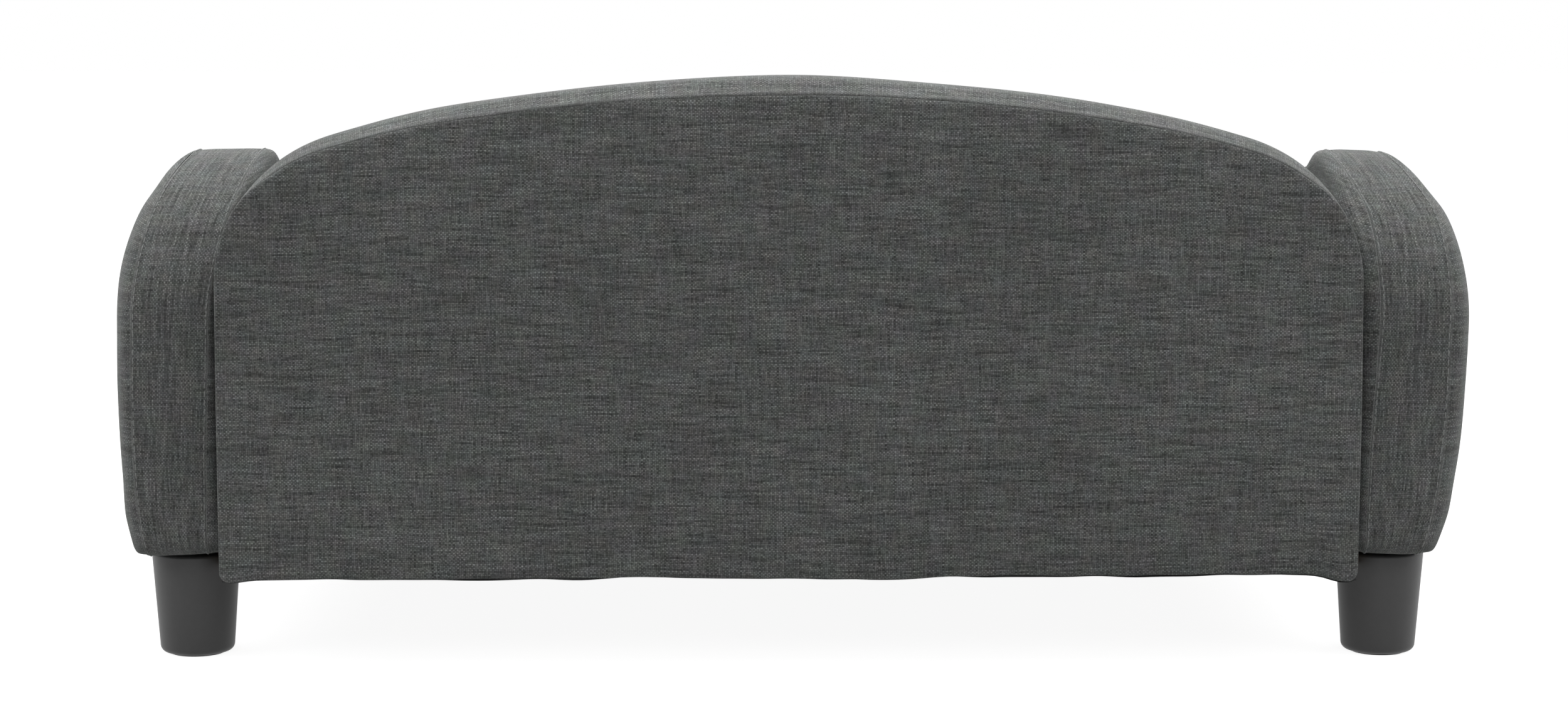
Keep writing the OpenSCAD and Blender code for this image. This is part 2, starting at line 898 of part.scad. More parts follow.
// A tapered round leg with rounded rims, a blind hole for its stud and a seat for its glide
module leg(x, y) {
    foot_z = glide_out;
    slope = (leg_top_d - leg_foot_d) / 2 / (leg_h - foot_z);
    foot_r = leg_foot_d / 2;
    top_r = leg_top_d / 2;
    color(leg_colour)
    translate([x, y, 0])
    difference() {
        rotate_extrude()
            polygon(concat([[0, foot_z]],
                [for (i = [0:4]) let (a = 90 * i / 4)
                    [foot_r - leg_rim_r * (1 - sin(a)), foot_z + leg_rim_r * (1 - cos(a))]],
                [for (i = [0:4]) let (a = 90 * i / 4)
                    [top_r - leg_rim_r * (slope + (1 - slope) * (1 - cos(a))),
                     leg_h - leg_rim_r * (1 - sin(a))]],
                [[0, leg_h]]));
        translate([0, 0, leg_h - stud_depth]) cylinder(d = stud_d, h = stud_depth + 1);
        translate([0, 0, foot_z - 1]) cylinder(d = glide_d, h = glide_t - glide_out + 1);
    }
}

module at_legs() {
    for (x = [-leg_x, leg_x])
        for (y = leg_ys)
            translate([x, y, 0]) children();
}

module leg_glides() {
    color(black_colour) at_legs() cylinder(d = glide_d, h = glide_t);
}

module leg_studs() {
    color(steel_colour) at_legs()
        translate([0, 0, leg_h - stud_depth]) cylinder(d = stud_d, h = stud_depth + washer_t + cloth + arm_rail_h);
}

module leg_washers() {
    color(black_colour) at_legs()
    difference() {
        translate([0, 0, leg_h]) cylinder(d = washer_d, h = washer_t);
        translate([0, 0, leg_h - 1]) cylinder(d = stud_d + 2 * bolt_play, h = washer_t + 2);
    }
}

// ---------------------------------------------------------------- fasteners

// Bolts through the side rails into the arms, and through the rear rail into the backrest
module frame_bolts() {
    tip_x = box_in + plate_t + nut_flange_t;
    color(steel_colour) {
        both_sides()
            for (y = side_bolt_ys) {
                rod_x(seat_half - rail_t, tip_x, y, bolt_z, bolt_d);
                rod_x(seat_half - rail_t - bolt_head_h, seat_half - rail_t, y, bolt_z, bolt_head_d);
            }
        for (x = rear_bolt_xs) {
            rod_y(x, rear_rail_y, hoop_y + hoop_t, bolt_z, bolt_d);
            rod_y(x, rear_rail_y - bolt_head_h, rear_rail_y, bolt_z, bolt_head_d);
        }
    }
}

// Tee nuts inside the arms: for the side bolts and for the legs' studs
module tee_nuts() {
    color(steel_colour)
    both_sides() {
        for (y = side_bolt_ys)
            translate([box_in + plate_t, y, bolt_z]) rotate([0, -90, 0])
                tee_nut(bolt_d, plate_t);
        for (y = leg_ys)
            translate([leg_x, y, box_floor + arm_rail_h]) rotate([180, 0, 0])
                tee_nut(stud_d, arm_rail_h - nut_wall);
    }
}

// Flange behind the plane z = 0, barrel of the given length in front of it
module tee_nut(d, barrel) {
    difference() {
        union() {
            cylinder(d = d + 2 * nut_wall, h = barrel);
            translate([0, 0, -nut_flange_t]) cylinder(d = d + 2 * (nut_wall + nut_flange), h = nut_flange_t);
        }
        translate([0, 0, -nut_flange_t - 1]) cylinder(d = d + 2 * nut_play, h = barrel + nut_flange_t + 2);
    }
}

// Threaded sleeves in the backrest's bottom rail
module insert_nuts() {
    color(steel_colour)
    for (x = rear_bolt_xs)
        difference() {
            rod_y(x, hoop_y, hoop_y + hoop_t, bolt_z, bolt_d + 2 * nut_wall);
            rod_y(x, hoop_y - 1, hoop_y + hoop_t + 1, bolt_z, bolt_d + 2 * nut_play);
        }
}

arm_inner_plate();  // left_arm_inner_plate
arm_outer_plate();  // left_arm_outer_plate
arm_bottom_rail();  // left_arm_bottom_rail
arm_top_rail();  // left_arm_top_rail
arm_front_post();  // left_arm_front_post
arm_rear_post();  // left_arm_rear_post
arm_outer_pad();  // left_arm_outer_pad
arm_inner_pad();  // left_arm_inner_pad
arm_edge_foam();  // left_arm_edge_foam
arm_outer_cover();  // left_arm_outer_cover
arm_inner_cover();  // left_arm_inner_cover
arm_boxing();  // left_arm_boxing
right_side() arm_inner_plate();  // right_arm_inner_plate
right_side() arm_outer_plate();  // right_arm_outer_plate
right_side() arm_bottom_rail();  // right_arm_bottom_rail
right_side() arm_top_rail();  // right_arm_top_rail
right_side() arm_front_post();  // right_arm_front_post
right_side() arm_rear_post();  // right_arm_rear_post
right_side() arm_outer_pad();  // right_arm_outer_pad
right_side() arm_inner_pad();  // right_arm_inner_pad
right_side() arm_edge_foam();  // right_arm_edge_foam
right_side() arm_outer_cover();  // right_arm_outer_cover
right_side() arm_inner_cover();  // right_arm_inner_cover
right_side() arm_boxing();  // right_arm_boxing
back_board();
back_hoop();
back_bottom_rail();
back_post(post_x);  // back_left_post
back_post(-post_x);  // back_right_post
back_front_foam();
back_edge_foam();
back_wadding();
back_front_cover();
back_boxing();
back_rear_cover();
front_rail();
rear_rail();
side_rail();  // left_side_rail
right_side() side_rail();  // right_side_rail
centre_rail();
corner_blocks();
deck_board();
front_pad();
seat_cover();
dust_cover();
cushion_foam();
cushion_cover();
zip_chain();
zip_slider();
zip_pull();
leg(leg_x, leg_ys[0]);  // front_left_leg
leg(-leg_x, leg_ys[0]);  // front_right_leg
leg(leg_x, leg_ys[1]);  // rear_left_leg
leg(-leg_x, leg_ys[1]);  // rear_right_leg
leg_glides();
leg_studs();
leg_washers();
frame_bolts();
tee_nuts();
insert_nuts();
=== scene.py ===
"""A dog bed built like a small sofa: a wooden base on four legs, two bowed box arms, an arched
backrest, all padded and covered in a heathered woven cloth, and a loose seat cushion with a zip."""

import math

import bmesh
import bpy
import numpy as np
from mathutils import Matrix, Vector, noise


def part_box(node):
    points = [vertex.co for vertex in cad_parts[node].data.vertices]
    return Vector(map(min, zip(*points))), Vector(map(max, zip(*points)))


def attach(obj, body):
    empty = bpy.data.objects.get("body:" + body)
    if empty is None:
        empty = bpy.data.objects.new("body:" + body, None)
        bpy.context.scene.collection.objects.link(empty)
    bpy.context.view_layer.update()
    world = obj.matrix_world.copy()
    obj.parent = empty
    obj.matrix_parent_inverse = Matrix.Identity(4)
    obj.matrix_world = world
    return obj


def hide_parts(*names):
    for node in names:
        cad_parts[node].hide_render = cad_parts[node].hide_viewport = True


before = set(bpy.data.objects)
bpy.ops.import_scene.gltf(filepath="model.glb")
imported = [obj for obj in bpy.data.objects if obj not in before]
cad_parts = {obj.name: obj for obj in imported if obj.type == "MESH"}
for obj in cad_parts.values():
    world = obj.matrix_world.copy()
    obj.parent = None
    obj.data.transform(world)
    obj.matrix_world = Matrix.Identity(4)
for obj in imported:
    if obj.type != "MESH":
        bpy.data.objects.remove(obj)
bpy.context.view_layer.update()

# ------------------------------------------------------------------ camera
# The bed stands with its back to the camera, which looks a little down at it
# through a long lens and is turned by less than a degree.
camera_place = (0.0008, 2.15, 0.3972)
camera_turn = -0.01358
camera_tilt = 0.11158
camera_roll = 0.0015



def put_in_scene(name, data):
    """A new object with this data, in the scene."""
    thing = bpy.data.objects.new(name, data)
    bpy.context.scene.collection.objects.link(thing)
    return thing


camera = put_in_scene("camera", bpy.data.cameras.new("camera"))
camera.data.sensor_width = 36
camera.data.lens = 75.6
camera.data.clip_end = 100
camera.matrix_world = (
    Matrix.Rotation(camera_turn, 4, "Z")
    @ Matrix.Translation(camera_place)
    @ Matrix.Rotation(math.pi, 4, "Z")
    @ Matrix.Rotation(math.pi / 2 - camera_tilt, 4, "X")
    @ Matrix.Rotation(camera_roll, 4, "Z")
)
bpy.context.scene.camera = camera
bpy.context.scene.view_settings.view_transform = "Standard"


# ------------------------------------------------------------------ studio
# A pale matt floor under one wide soft lamp overhead, a soft lamp on either side
# and a weak one at the front and at the back, in a white room.
def add_node(tree, kind, links=None, **settings):
    """Adds a shader node, sets it, and fills its inputs with values or other nodes' outputs."""
    node = tree.nodes.new(kind)
    for key, value in settings.items():
        setattr(node, key, value)
    for socket, value in (links or {}).items():
        if isinstance(value, bpy.types.NodeSocket):
            tree.links.new(value, node.inputs[socket])
        else:
            node.inputs[socket].default_value = value
    return node


def calc(tree, operation, *values):
    """A Math node's result."""
    node = add_node(tree, "ShaderNodeMath", dict(enumerate(values)), operation=operation)
    return node.outputs[0]


def ramp(tree, value, low=0.0, high=1.0, first=0.0, last=1.0):
    """Value moved over from the range low to high into the range first to last."""
    node = add_node(
        tree,
        "ShaderNodeMapRange",
        {"Value": value, "From Min": low, "From Max": high, "To Min": first, "To Max": last},
    )
    return node.outputs[0]


def blank_tree(owner):
    """Gives a material or the room a node tree, without the nodes it starts with."""
    owner.use_nodes = True
    owner.node_tree.nodes.clear()
    return owner.node_tree


def seen_directly(tree):
    """1 for what the camera sees, directly, in gloss or through glass; 0 for light on the bed."""
    path = add_node(tree, "ShaderNodeLightPath").outputs
    mirrored = calc(tree, "MAXIMUM", path["Is Glossy Ray"], path["Is Transmission Ray"])
    return calc(tree, "MAXIMUM", path["Is Camera Ray"], mirrored)


floor_half = 14.0
floor_shade = 0.32
floor_glow = 0.92
room_light = 0.30

floor_mesh = bpy.data.meshes.new("studio_floor")
shape = bmesh.new()
bmesh.ops.create_grid(shape, x_segments=8, y_segments=8, size=floor_half)
shape.to_mesh(floor_mesh)
shape.free()
floor = put_in_scene("studio_floor", floor_mesh)

floor_paint = bpy.data.materials.new("studio_floor")
tree = blank_tree(floor_paint)
matt = add_node(tree, "ShaderNodeBsdfDiffuse", {"Color": (floor_shade,) * 3 + (1,)})
glow_level = calc(tree, "MULTIPLY", seen_directly(tree), floor_glow)
glow = add_node(tree, "ShaderNodeEmission", {"Strength": glow_level})
both = add_node(tree, "ShaderNodeAddShader", {0: matt.outputs[0], 1: glow.outputs[0]})
add_node(tree, "ShaderNodeOutputMaterial", {"Surface": both.outputs[0]})
floor_mesh.materials.append(floor_paint)

room = bpy.data.worlds.new("white_room")
bpy.context.scene.world = room
tree = blank_tree(room)
level = ramp(tree, seen_directly(tree), first=room_light)
air = add_node(tree, "ShaderNodeBackground", {"Color": (1, 1, 1, 1), "Strength": level})
add_node(tree, "ShaderNodeOutputWorld", {"Surface": air.outputs[0]})


def softbox(name, place, aim, size, power):
    """A rectangular soft lamp at place that points at aim."""
    lamp = bpy.data.lights.new(name, "AREA")
    lamp.shape = "RECTANGLE"
    lamp.size, lamp.size_y = size
    lamp.energy = power
    box = put_in_scene(name, lamp)
    box.location = place
    box.rotation_euler = (Vector(aim) - Vector(place)).to_track_quat("-Z", "Y").to_euler()


bed_middle = (0, 0, 0.2)
softbox("overhead_lamp", (0, 0.0, 2.2), bed_middle, (2.4, 2.0), 48)
softbox("left_lamp", (2.1, 0.0, 1.5), bed_middle, (3.6, 0.9), 29)
softbox("right_lamp", (-2.1, 0.0, 1.5), bed_middle, (3.6, 0.9), 29)
softbox("rear_lamp", (0, 3.0, 1.9), bed_middle, (2.4, 1.0), 19)
softbox("front_lamp", (0, -3.0, 1.9), bed_middle, (2.4, 1.0), 14)


# ------------------------------------------------------------------ woven cloth
# All upholstery is one cloth: a plain weave of charcoal warp and paler, thick-and-thin
# space-dyed weft, about nine by ten yarns to the centimetre, which gives it a heathered look.
def new_group(name, inputs, outputs):
    """An empty shader node group with float or vector inputs and outputs."""
    group = bpy.data.node_groups.new(name, "ShaderNodeTree")
    kinds = {"vector": "NodeSocketVector", "float": "NodeSocketFloat"}
    for title, kind in inputs:
        group.interface.new_socket(title, in_out="INPUT", socket_type=kinds[kind])
    for title in outputs:
        group.interface.new_socket(title, in_out="OUTPUT", socket_type=kinds["float"])
    start = add_node(group, "NodeGroupInput")
    end = add_node(group, "NodeGroupOutput")
    return group, start.outputs, end


def put_group(tree, group, **links):
    """A use of a node group in a material; returns its outputs."""
    node = add_node(tree, "ShaderNodeGroup", node_tree=group)
    for title, value in links.items():
        socket = node.inputs[title.replace("_", " ")]
        if isinstance(value, bpy.types.NodeSocket):
            tree.links.new(value, socket)
        else:
            socket.default_value = value
    return node.outputs


def vector_calc(tree, operation, first, second):
    """A Vector Math node's result; a plain scale goes into a socket of its own."""
    links = {0: first, "Scale" if operation == "SCALE" else 1: second}
    return add_node(tree, "ShaderNodeVectorMath", links, operation=operation).outputs[0]


def noise_at(tree, place, scale, detail, rough=0.5):
    """A noise texture's outputs."""
    settings = {"Vector": place, "Scale": scale, "Detail": detail, "Roughness": rough}
    return add_node(tree, "ShaderNodeTexNoise", settings).outputs


def mottle(tree, place, scale, detail=2.0, stretch=(1, 1, 1), rough=0.5):
    """Noise from 0 to 1 with its middle at one half, stretched along some axes."""
    spread = vector_calc(tree, "MULTIPLY", place, tuple(scale * s for s in stretch))
    return noise_at(tree, spread, 1.0, detail, rough)["Fac"]


def plain_weave_group():
    """Plain weave over a flat chart in metres: the yarn on top, its shades, tint and height."""
    group, given, result = new_group(
        "plain_weave",
        [("Chart", "vector"), ("Yarns", "vector"), ("Wander", "float")],
        ["Weft", "Warp Shade", "Weft Shade", "Tint", "Warmth", "Height"],
    )
    drift = noise_at(group, given["Chart"], 38.0, 4.0, 0.75)["Color"]
    centred = vector_calc(group, "SUBTRACT", drift, (0.5, 0.5, 0.5))
    moved = vector_calc(group, "ADD", given["Chart"],
                        vector_calc(group, "SCALE", centred, given["Wander"]))
    counted = vector_calc(group, "MULTIPLY", moved, given["Yarns"])
    cell = add_node(group, "ShaderNodeSeparateXYZ", {0: counted}).outputs
    warp_number = calc(group, "FLOOR", cell["X"])
    weft_number = calc(group, "FLOOR", cell["Y"])
    weft_on_top = calc(group, "FLOORED_MODULO", calc(group, "ADD", warp_number, weft_number), 2.0)

    def across(count):
        """How round a yarn stands across its width: 0 at its sides and 1 in its middle."""
        return calc(group, "SINE", calc(group, "MULTIPLY", calc(group, "FRACT", count), math.pi))

    def yarn_shade(along, number, spacing, pace):
        """Shade of one yarn along its length: long slubs and short thick places."""
        reached = calc(group, "MULTIPLY", along, pace)
        own_row = calc(group, "MULTIPLY", number, spacing)
        place = add_node(group, "ShaderNodeCombineXYZ", {"X": reached, "Y": own_row}).outputs[0]
        return noise_at(group, place, 1.0, 4.0, 0.60)["Fac"]

    def yarn_height(own, other):
        """A yarn's height where it lies over another: lower over the other's sides."""
        return calc(group, "MULTIPLY", own, calc(group, "MULTIPLY_ADD", other, 0.55, 0.45))

    across_warp, across_weft = across(cell["X"]), across(cell["Y"])
    weft_shade = yarn_shade(cell["X"], weft_number, 7.31, 0.045)
    warp_shade = yarn_shade(cell["Y"], warp_number, 5.77, 0.055)
    weft_height = yarn_height(across_weft, across_warp)
    warp_height = yarn_height(across_warp, across_weft)
    height = add_node(
        group, "ShaderNodeMix", {0: weft_on_top, 2: warp_height, 3: weft_height}, data_type="FLOAT"
    )
    tint = mottle(group, given["Chart"], 70, 2.0, (0.4, 1.6, 1))
    patch = mottle(group, given["Chart"], 70, 2.0, (1.6, 0.4, 1))
    warmth = mottle(group, given["Chart"], 90, 2.0, (1.1, 0.8, 1))
    blended = calc(group, "MULTIPLY_ADD", patch, 0.45, calc(group, "MULTIPLY", tint, 0.55))
    weft_share = calc(group, "MULTIPLY_ADD", weft_on_top, 0.68, 0.18)
    found = {"Weft": weft_share, "Warp Shade": warp_shade, "Weft Shade": weft_shade,
             "Tint": blended, "Warmth": warmth, "Height": height.outputs[0]}
    for title, value in found.items():
        group.links.new(value, result.inputs[title])
    return group


def raised_edge_group():
    """1 where an edge or fold stands out and gets rubbed, broken up so it isn't a clean line; on
    the cloth it also marks a painted highlight.
    """
    group, given, result = new_group(
        "raised_edge", [("Place", "vector"), ("Grain", "float")], ["Rubbed"]
    )
    bend = add_node(group, "ShaderNodeNewGeometry").outputs["Pointiness"]
    raised = ramp(group, bend, 0.505, 0.55)
    patches = noise_at(group, given["Place"], given["Grain"], 4.0)["Fac"]
    broken = calc(group, "MULTIPLY", raised, patches)
    group.links.new(broken, result.inputs["Rubbed"])
    return group


plain_weave = plain_weave_group()
raised_edge = raised_edge_group()
yarns_per_metre = (885.0, 990.0, 1.0)
warp_dark = (0.034, 0.0349, 0.0341, 1)
warp_pale = (0.154, 0.1581, 0.1542, 1)
weft_dark = (0.058, 0.0597, 0.0583, 1)
weft_pale = (0.270, 0.2776, 0.2705, 1)
plum_tint = (1.028, 0.984, 1.004, 1)
sea_tint = (0.970, 1.022, 0.998, 1)
straw_tint = (1.006, 1.004, 0.968, 1)
slate_tint = (0.996, 0.998, 1.030, 1)
# Pale colour of the cloth's raised edges and folds: partly rubbed wear, partly a painted highlight
# where folds catch light.
worn_and_highlit_cloth = (0.25, 0.256, 0.25, 1)
fleck_dark, fleck_pale = 0.68, 1.34
cloud_dark, cloud_pale = 0.96, 1.10


def blend_colour(tree, share, first, second, way="MIX"):
    """Two colours mixed by share."""
    node = add_node(
        tree, "ShaderNodeMix", {0: share, 6: first, 7: second}, data_type="RGBA", blend_type=way
    )
    return node.outputs[2]


def bumped(tree, height, strength, depth):
    """The surface's normal where height raises it by up to depth, in metres."""
    looks = {"Strength": strength, "Distance": depth, "Height": height}
    return add_node(tree, "ShaderNodeBump", looks).outputs[0]


def object_place(tree):
    """Where a point lies in the piece's own frame, in metres."""
    return add_node(tree, "ShaderNodeTexCoord").outputs["Object"]


def add_surface(tree, looks):
    """The material's own shader, set to these looks, and its output."""
    shader = add_node(tree, "ShaderNodeBsdfPrincipled", looks)
    add_node(tree, "ShaderNodeOutputMaterial", {"Surface": shader.outputs[0]})


def woven_cloth(name, wear_and_highlight):
    """The upholstery cloth, laid by each piece's chart: its cloth flat on the cutting table."""
    material = bpy.data.materials.new(name)
    tree = blank_tree(material)
    chart = add_node(tree, "ShaderNodeUVMap", uv_map="chart").outputs[0]
    place = object_place(tree)
    weave = put_group(tree, plain_weave, Chart=chart, Yarns=yarns_per_metre, Wander=0.0028)
    warp = blend_colour(tree, ramp(tree, weave["Warp Shade"], 0.33, 0.67), warp_dark, warp_pale)
    weft = blend_colour(tree, ramp(tree, weave["Weft Shade"], 0.33, 0.67), weft_dark, weft_pale)
    yarn = blend_colour(tree, weave["Weft"], warp, weft)
    # Painted shade: the yarn colour is darkened where the weave's height is low, in the gaps
    # between the yarns.
    depth = ramp(tree, weave["Height"], -0.50, 0.80)
    shaded = blend_colour(tree, 1.0, yarn, depth, "MULTIPLY")
    fleck = ramp(tree, mottle(tree, chart, 620, 1.0), 0.3, 0.7, fleck_dark, fleck_pale)
    shaded = blend_colour(tree, 1.0, shaded, fleck, "MULTIPLY")
    tint = blend_colour(tree, ramp(tree, weave["Tint"], 0.38, 0.62), plum_tint, sea_tint)
    warmth = blend_colour(tree, ramp(tree, weave["Warmth"], 0.35, 0.65), straw_tint, slate_tint)
    hue = blend_colour(tree, 1.0, tint, warmth, "MULTIPLY")
    tinted = blend_colour(tree, 1.0, shaded, hue, "MULTIPLY")
    cloud = ramp(tree, mottle(tree, place, 14, 3.0), 0.3, 0.7, cloud_dark, cloud_pale)
    clouded = blend_colour(tree, 1.0, tinted, cloud, "MULTIPLY")
    # Paler colour on raised edges and folds such as the seams: partly rubbed wear, partly a painted
    # highlight.
    edge_mask = put_group(tree, raised_edge, Place=place, Grain=180.0)["Rubbed"]
    edge_toned = blend_colour(tree, calc(tree, "MULTIPLY", edge_mask, wear_and_highlight), clouded, worn_and_highlit_cloth)
    fibres = mottle(tree, chart, 3200, 2.0)
    relief = calc(tree, "MULTIPLY_ADD", fibres, 0.18, weave["Height"])
    looks = {
        "Base Color": edge_toned,
        "Roughness": ramp(tree, weave["Weft Shade"], first=0.95, last=0.80),
        "Specular IOR Level": 0.15,
        "Sheen Weight": 0.20,
        "Sheen Roughness": 0.45,
        "Sheen Tint": (0.86, 0.90, 0.87, 1),
        "Normal": bumped(tree, relief, 0.55, 0.00025),
    }
    add_surface(tree, looks)
    return material


# The second number sets how strongly raised edges and folds are paled: as wear, and as a painted
# highlight.
upholstery_cloth = woven_cloth("upholstery_cloth", 0.85)
back_cloth = woven_cloth("backrest_cloth", 0.40)


# ------------------------------------------------------------------ wooden frame
# Rails, posts and corner blocks are planed pine; plates, hoop, boards and the vented deck are
# birch plywood. They are screwed, glued and bolted, and covered up once the bed is finished.
def planed_wood(name, dark, pale, along, layers):
    """Wood with growth rings drawn out along one axis; plywood also shows thin layers."""
    material = bpy.data.materials.new(name)
    tree = blank_tree(material)
    place = object_place(tree)
    stretch = tuple(0.05 if axis == along else 1.0 for axis in range(3))
    figure = mottle(tree, place, 60, 3.0, stretch)
    rings = calc(tree, "FRACT", calc(tree, "MULTIPLY", figure, 9.0))
    soft_rings = calc(tree, "PINGPONG", calc(tree, "MULTIPLY", rings, 2.0), 1.0)
    pores = mottle(tree, place, 900, 2.0, stretch)
    grain = calc(tree, "MULTIPLY_ADD", soft_rings, 0.6, calc(tree, "MULTIPLY", pores, 0.4))
    colour = blend_colour(tree, grain, pale, dark)
    if layers:
        split = add_node(tree, "ShaderNodeSeparateXYZ", {0: place}).outputs["Z"]
        ply = calc(tree, "PINGPONG", calc(tree, "MULTIPLY", split, 1 / layers), 1.0)
        colour = blend_colour(tree, calc(tree, "MULTIPLY", ply, 0.18), colour, dark)
    edge_mask = put_group(tree, raised_edge, Place=place, Grain=120.0)["Rubbed"]
    edge_toned = blend_colour(tree, calc(tree, "MULTIPLY", edge_mask, 0.4), colour, dark)
    rough = ramp(tree, pores, first=0.55, last=0.75)
    normal = bumped(tree, grain, 0.3, 0.0003)
    add_surface(tree, {"Base Color": edge_toned, "Roughness": rough, "Normal": normal})
    return material


pine_dark = (0.42, 0.25, 0.11, 1)
pine_pale = (0.66, 0.47, 0.26, 1)
birch_dark = (0.40, 0.25, 0.12, 1)
birch_pale = (0.60, 0.42, 0.23, 1)
pine_across = planed_wood("pine_across_the_bed", pine_dark, pine_pale, 0, 0)
pine_along = planed_wood("pine_front_to_back", pine_dark, pine_pale, 1, 0)
pine_upright = planed_wood("pine_upright", pine_dark, pine_pale, 2, 0)
birch_plywood = planed_wood("birch_plywood", birch_dark, birch_pale, 1, 0.0014)


def finish_solid(node, material):
    """Gives a solid of the frame its own finish."""
    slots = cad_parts[node].data.materials
    slots.clear()
    slots.append(material)


for node in ("front_rail", "rear_rail", "back_bottom_rail"):
    finish_solid(node, pine_across)
for node in ("left_side_rail", "right_side_rail", "centre_rail"):
    finish_solid(node, pine_along)
for node in ("back_left_post", "back_right_post", "corner_blocks"):
    finish_solid(node, pine_upright)
for node in ("back_board", "back_hoop", "deck_board"):
    finish_solid(node, birch_plywood)
for side in ("left_arm", "right_arm"):
    for part in ("inner_plate", "outer_plate"):
        finish_solid(f"{side}_{part}", birch_plywood)
    for part in ("bottom_rail", "top_rail"):
        finish_solid(f"{side}_{part}", pine_along)
    for part in ("front_post", "rear_post"):
        finish_solid(f"{side}_{part}", pine_upright)


# ------------------------------------------------------------------ fasteners
# Zinc-plated bolts, tee nuts, insert nuts and leg studs hold the arms, the backrest, the seat
# base and the legs together.
def zinc_plate():
    """Bright zinc, with a fine spangle, rubbed bare on its edges."""
    material = bpy.data.materials.new("zinc_plate")
    tree = blank_tree(material)
    place = object_place(tree)
    spangle = mottle(tree, place, 700, 3.0)
    colour = blend_colour(tree, spangle, (0.42, 0.43, 0.44, 1), (0.62, 0.63, 0.64, 1))
    edge_mask = put_group(tree, raised_edge, Place=place, Grain=500.0)["Rubbed"]
    edge_toned = blend_colour(tree, edge_mask, colour, (0.75, 0.75, 0.74, 1))
    rough = ramp(tree, spangle, first=0.28, last=0.48)
    normal = bumped(tree, spangle, 0.2, 0.0001)
    add_surface(tree, {"Base Color": edge_toned, "Metallic": 1.0, "Roughness": rough, "Normal": normal})
    return material


bright_zinc = zinc_plate()
for node in ("frame_bolts", "tee_nuts", "insert_nuts", "leg_studs"):
    finish_solid(node, bright_zinc)


# ------------------------------------------------------------------ legs
# Four hollow legs moulded in dark grey plastic taper towards the floor. Each has a felt glide
# under it and screws up through a spacer washer into the arm's bottom rail.
def moulded_plastic(name, colour, roughness):
    """Matt moulded plastic: a fine spark-eroded grain, soft mottling, paler rubbed edges."""
    material = bpy.data.materials.new(name)
    tree = blank_tree(material)
    place = object_place(tree)
    cloud = mottle(tree, place, 30, 3.0, (1, 1, 0.4))
    deep = tuple(c * 0.90 for c in colour[:3]) + (1,)
    pale = tuple(c * 1.12 for c in colour[:3]) + (1,)
    shade = blend_colour(tree, ramp(tree, cloud, 0.3, 0.7), deep, pale)
    edge_mask = put_group(tree, raised_edge, Place=place, Grain=240.0)["Rubbed"]
    scuffed = blend_colour(tree, calc(tree, "MULTIPLY", edge_mask, 0.3), shade, (0.16, 0.16, 0.16, 1))
    grain = mottle(tree, place, 2600, 2.0)
    rough = ramp(tree, cloud, first=roughness - 0.06, last=roughness + 0.06)
    normal = bumped(tree, grain, 0.25, 0.00012)
    add_surface(
        tree,
        {"Base Color": scuffed, "Roughness": rough, "Specular IOR Level": 0.4, "Normal": normal},
    )
    return material


leg_plastic = moulded_plastic("leg_plastic", (0.038, 0.038, 0.038), 0.48)
washer_plastic = moulded_plastic("washer_plastic", (0.012, 0.012, 0.012), 0.5)
leg_foot_round = 0.0044
leg_rim_round = 0.0020
leg_taper = 0.0040
leg_sides = 96
glide_room = 0.0168
glide_sunk = 0.0020
stud_hole = 0.0115
stud_bevel = 0.0012


def make_piece(name, points, faces, material):
    """A smoothly shaded piece from its points and faces, in one material."""
    mesh = bpy.data.meshes.new(name)
    mesh.from_pydata(points, [], faces)
    mesh.shade_smooth()
    mesh.materials.append(material)
    return put_in_scene(name, mesh)


def turned(name, centre, profile, material):
    """A round piece from a half profile of (radius, height) that starts and ends on its axis."""
    angles = np.linspace(0, 2 * math.pi, leg_sides, endpoint=False)
    points = [(centre[0], centre[1], profile[0][1])]
    for radius, height in profile[1:-1]:
        points += [(centre[0] + radius * math.cos(a), centre[1] + radius * math.sin(a), height)
                   for a in angles]
    points.append((centre[0], centre[1], profile[-1][1]))
    last = len(points) - 1
    rows = len(profile) - 2
    faces = []
    for k in range(leg_sides):
        after = (k + 1) % leg_sides
        faces.append((0, 1 + after, 1 + k))
        for row in range(rows - 1):
            low, high = 1 + row * leg_sides, 1 + (row + 1) * leg_sides
            faces.append((low + k, low + after, high + after, high + k))
        top = 1 + (rows - 1) * leg_sides
        faces.append((top + k, top + after, last))
    return make_piece(name, points, faces, material)


def rounded_corner(corner, radius, start, stop, steps=7):
    """Points (radius, height) round a corner's centre."""
    return [(corner[0] + radius * math.cos(a), corner[1] + radius * math.sin(a))
            for a in map(math.radians, np.linspace(start, stop, steps))]


for end in ("front", "rear"):
    for side in ("left", "right"):
        node = f"{end}_{side}_leg"
        low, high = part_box(node)
        middle = (low + high) / 2
        top_radius = (high.x - low.x) / 2
        foot_radius = top_radius - leg_taper
        taper = math.degrees(math.atan2(top_radius - foot_radius, high.z - low.z))
        profile = [(0, low.z + glide_sunk), (glide_room, low.z + glide_sunk),
                   (glide_room + 0.0006, low.z + 0.0004), (glide_room + 0.0012, low.z)]
        profile += rounded_corner((foot_radius - leg_foot_round, low.z + leg_foot_round),
                                  leg_foot_round, -90, -taper)
        profile += rounded_corner((top_radius - leg_rim_round, high.z - leg_rim_round),
                                  leg_rim_round, -taper, 90)
        profile += [(stud_hole + 0.0010, high.z), (stud_hole, high.z - stud_bevel),
                    (0, high.z - stud_bevel)]
        moulding = turned(f"{node}_moulding", middle, profile, leg_plastic)
        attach(moulding, "frame")
        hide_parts(node)

finish_solid("leg_washers", washer_plastic)


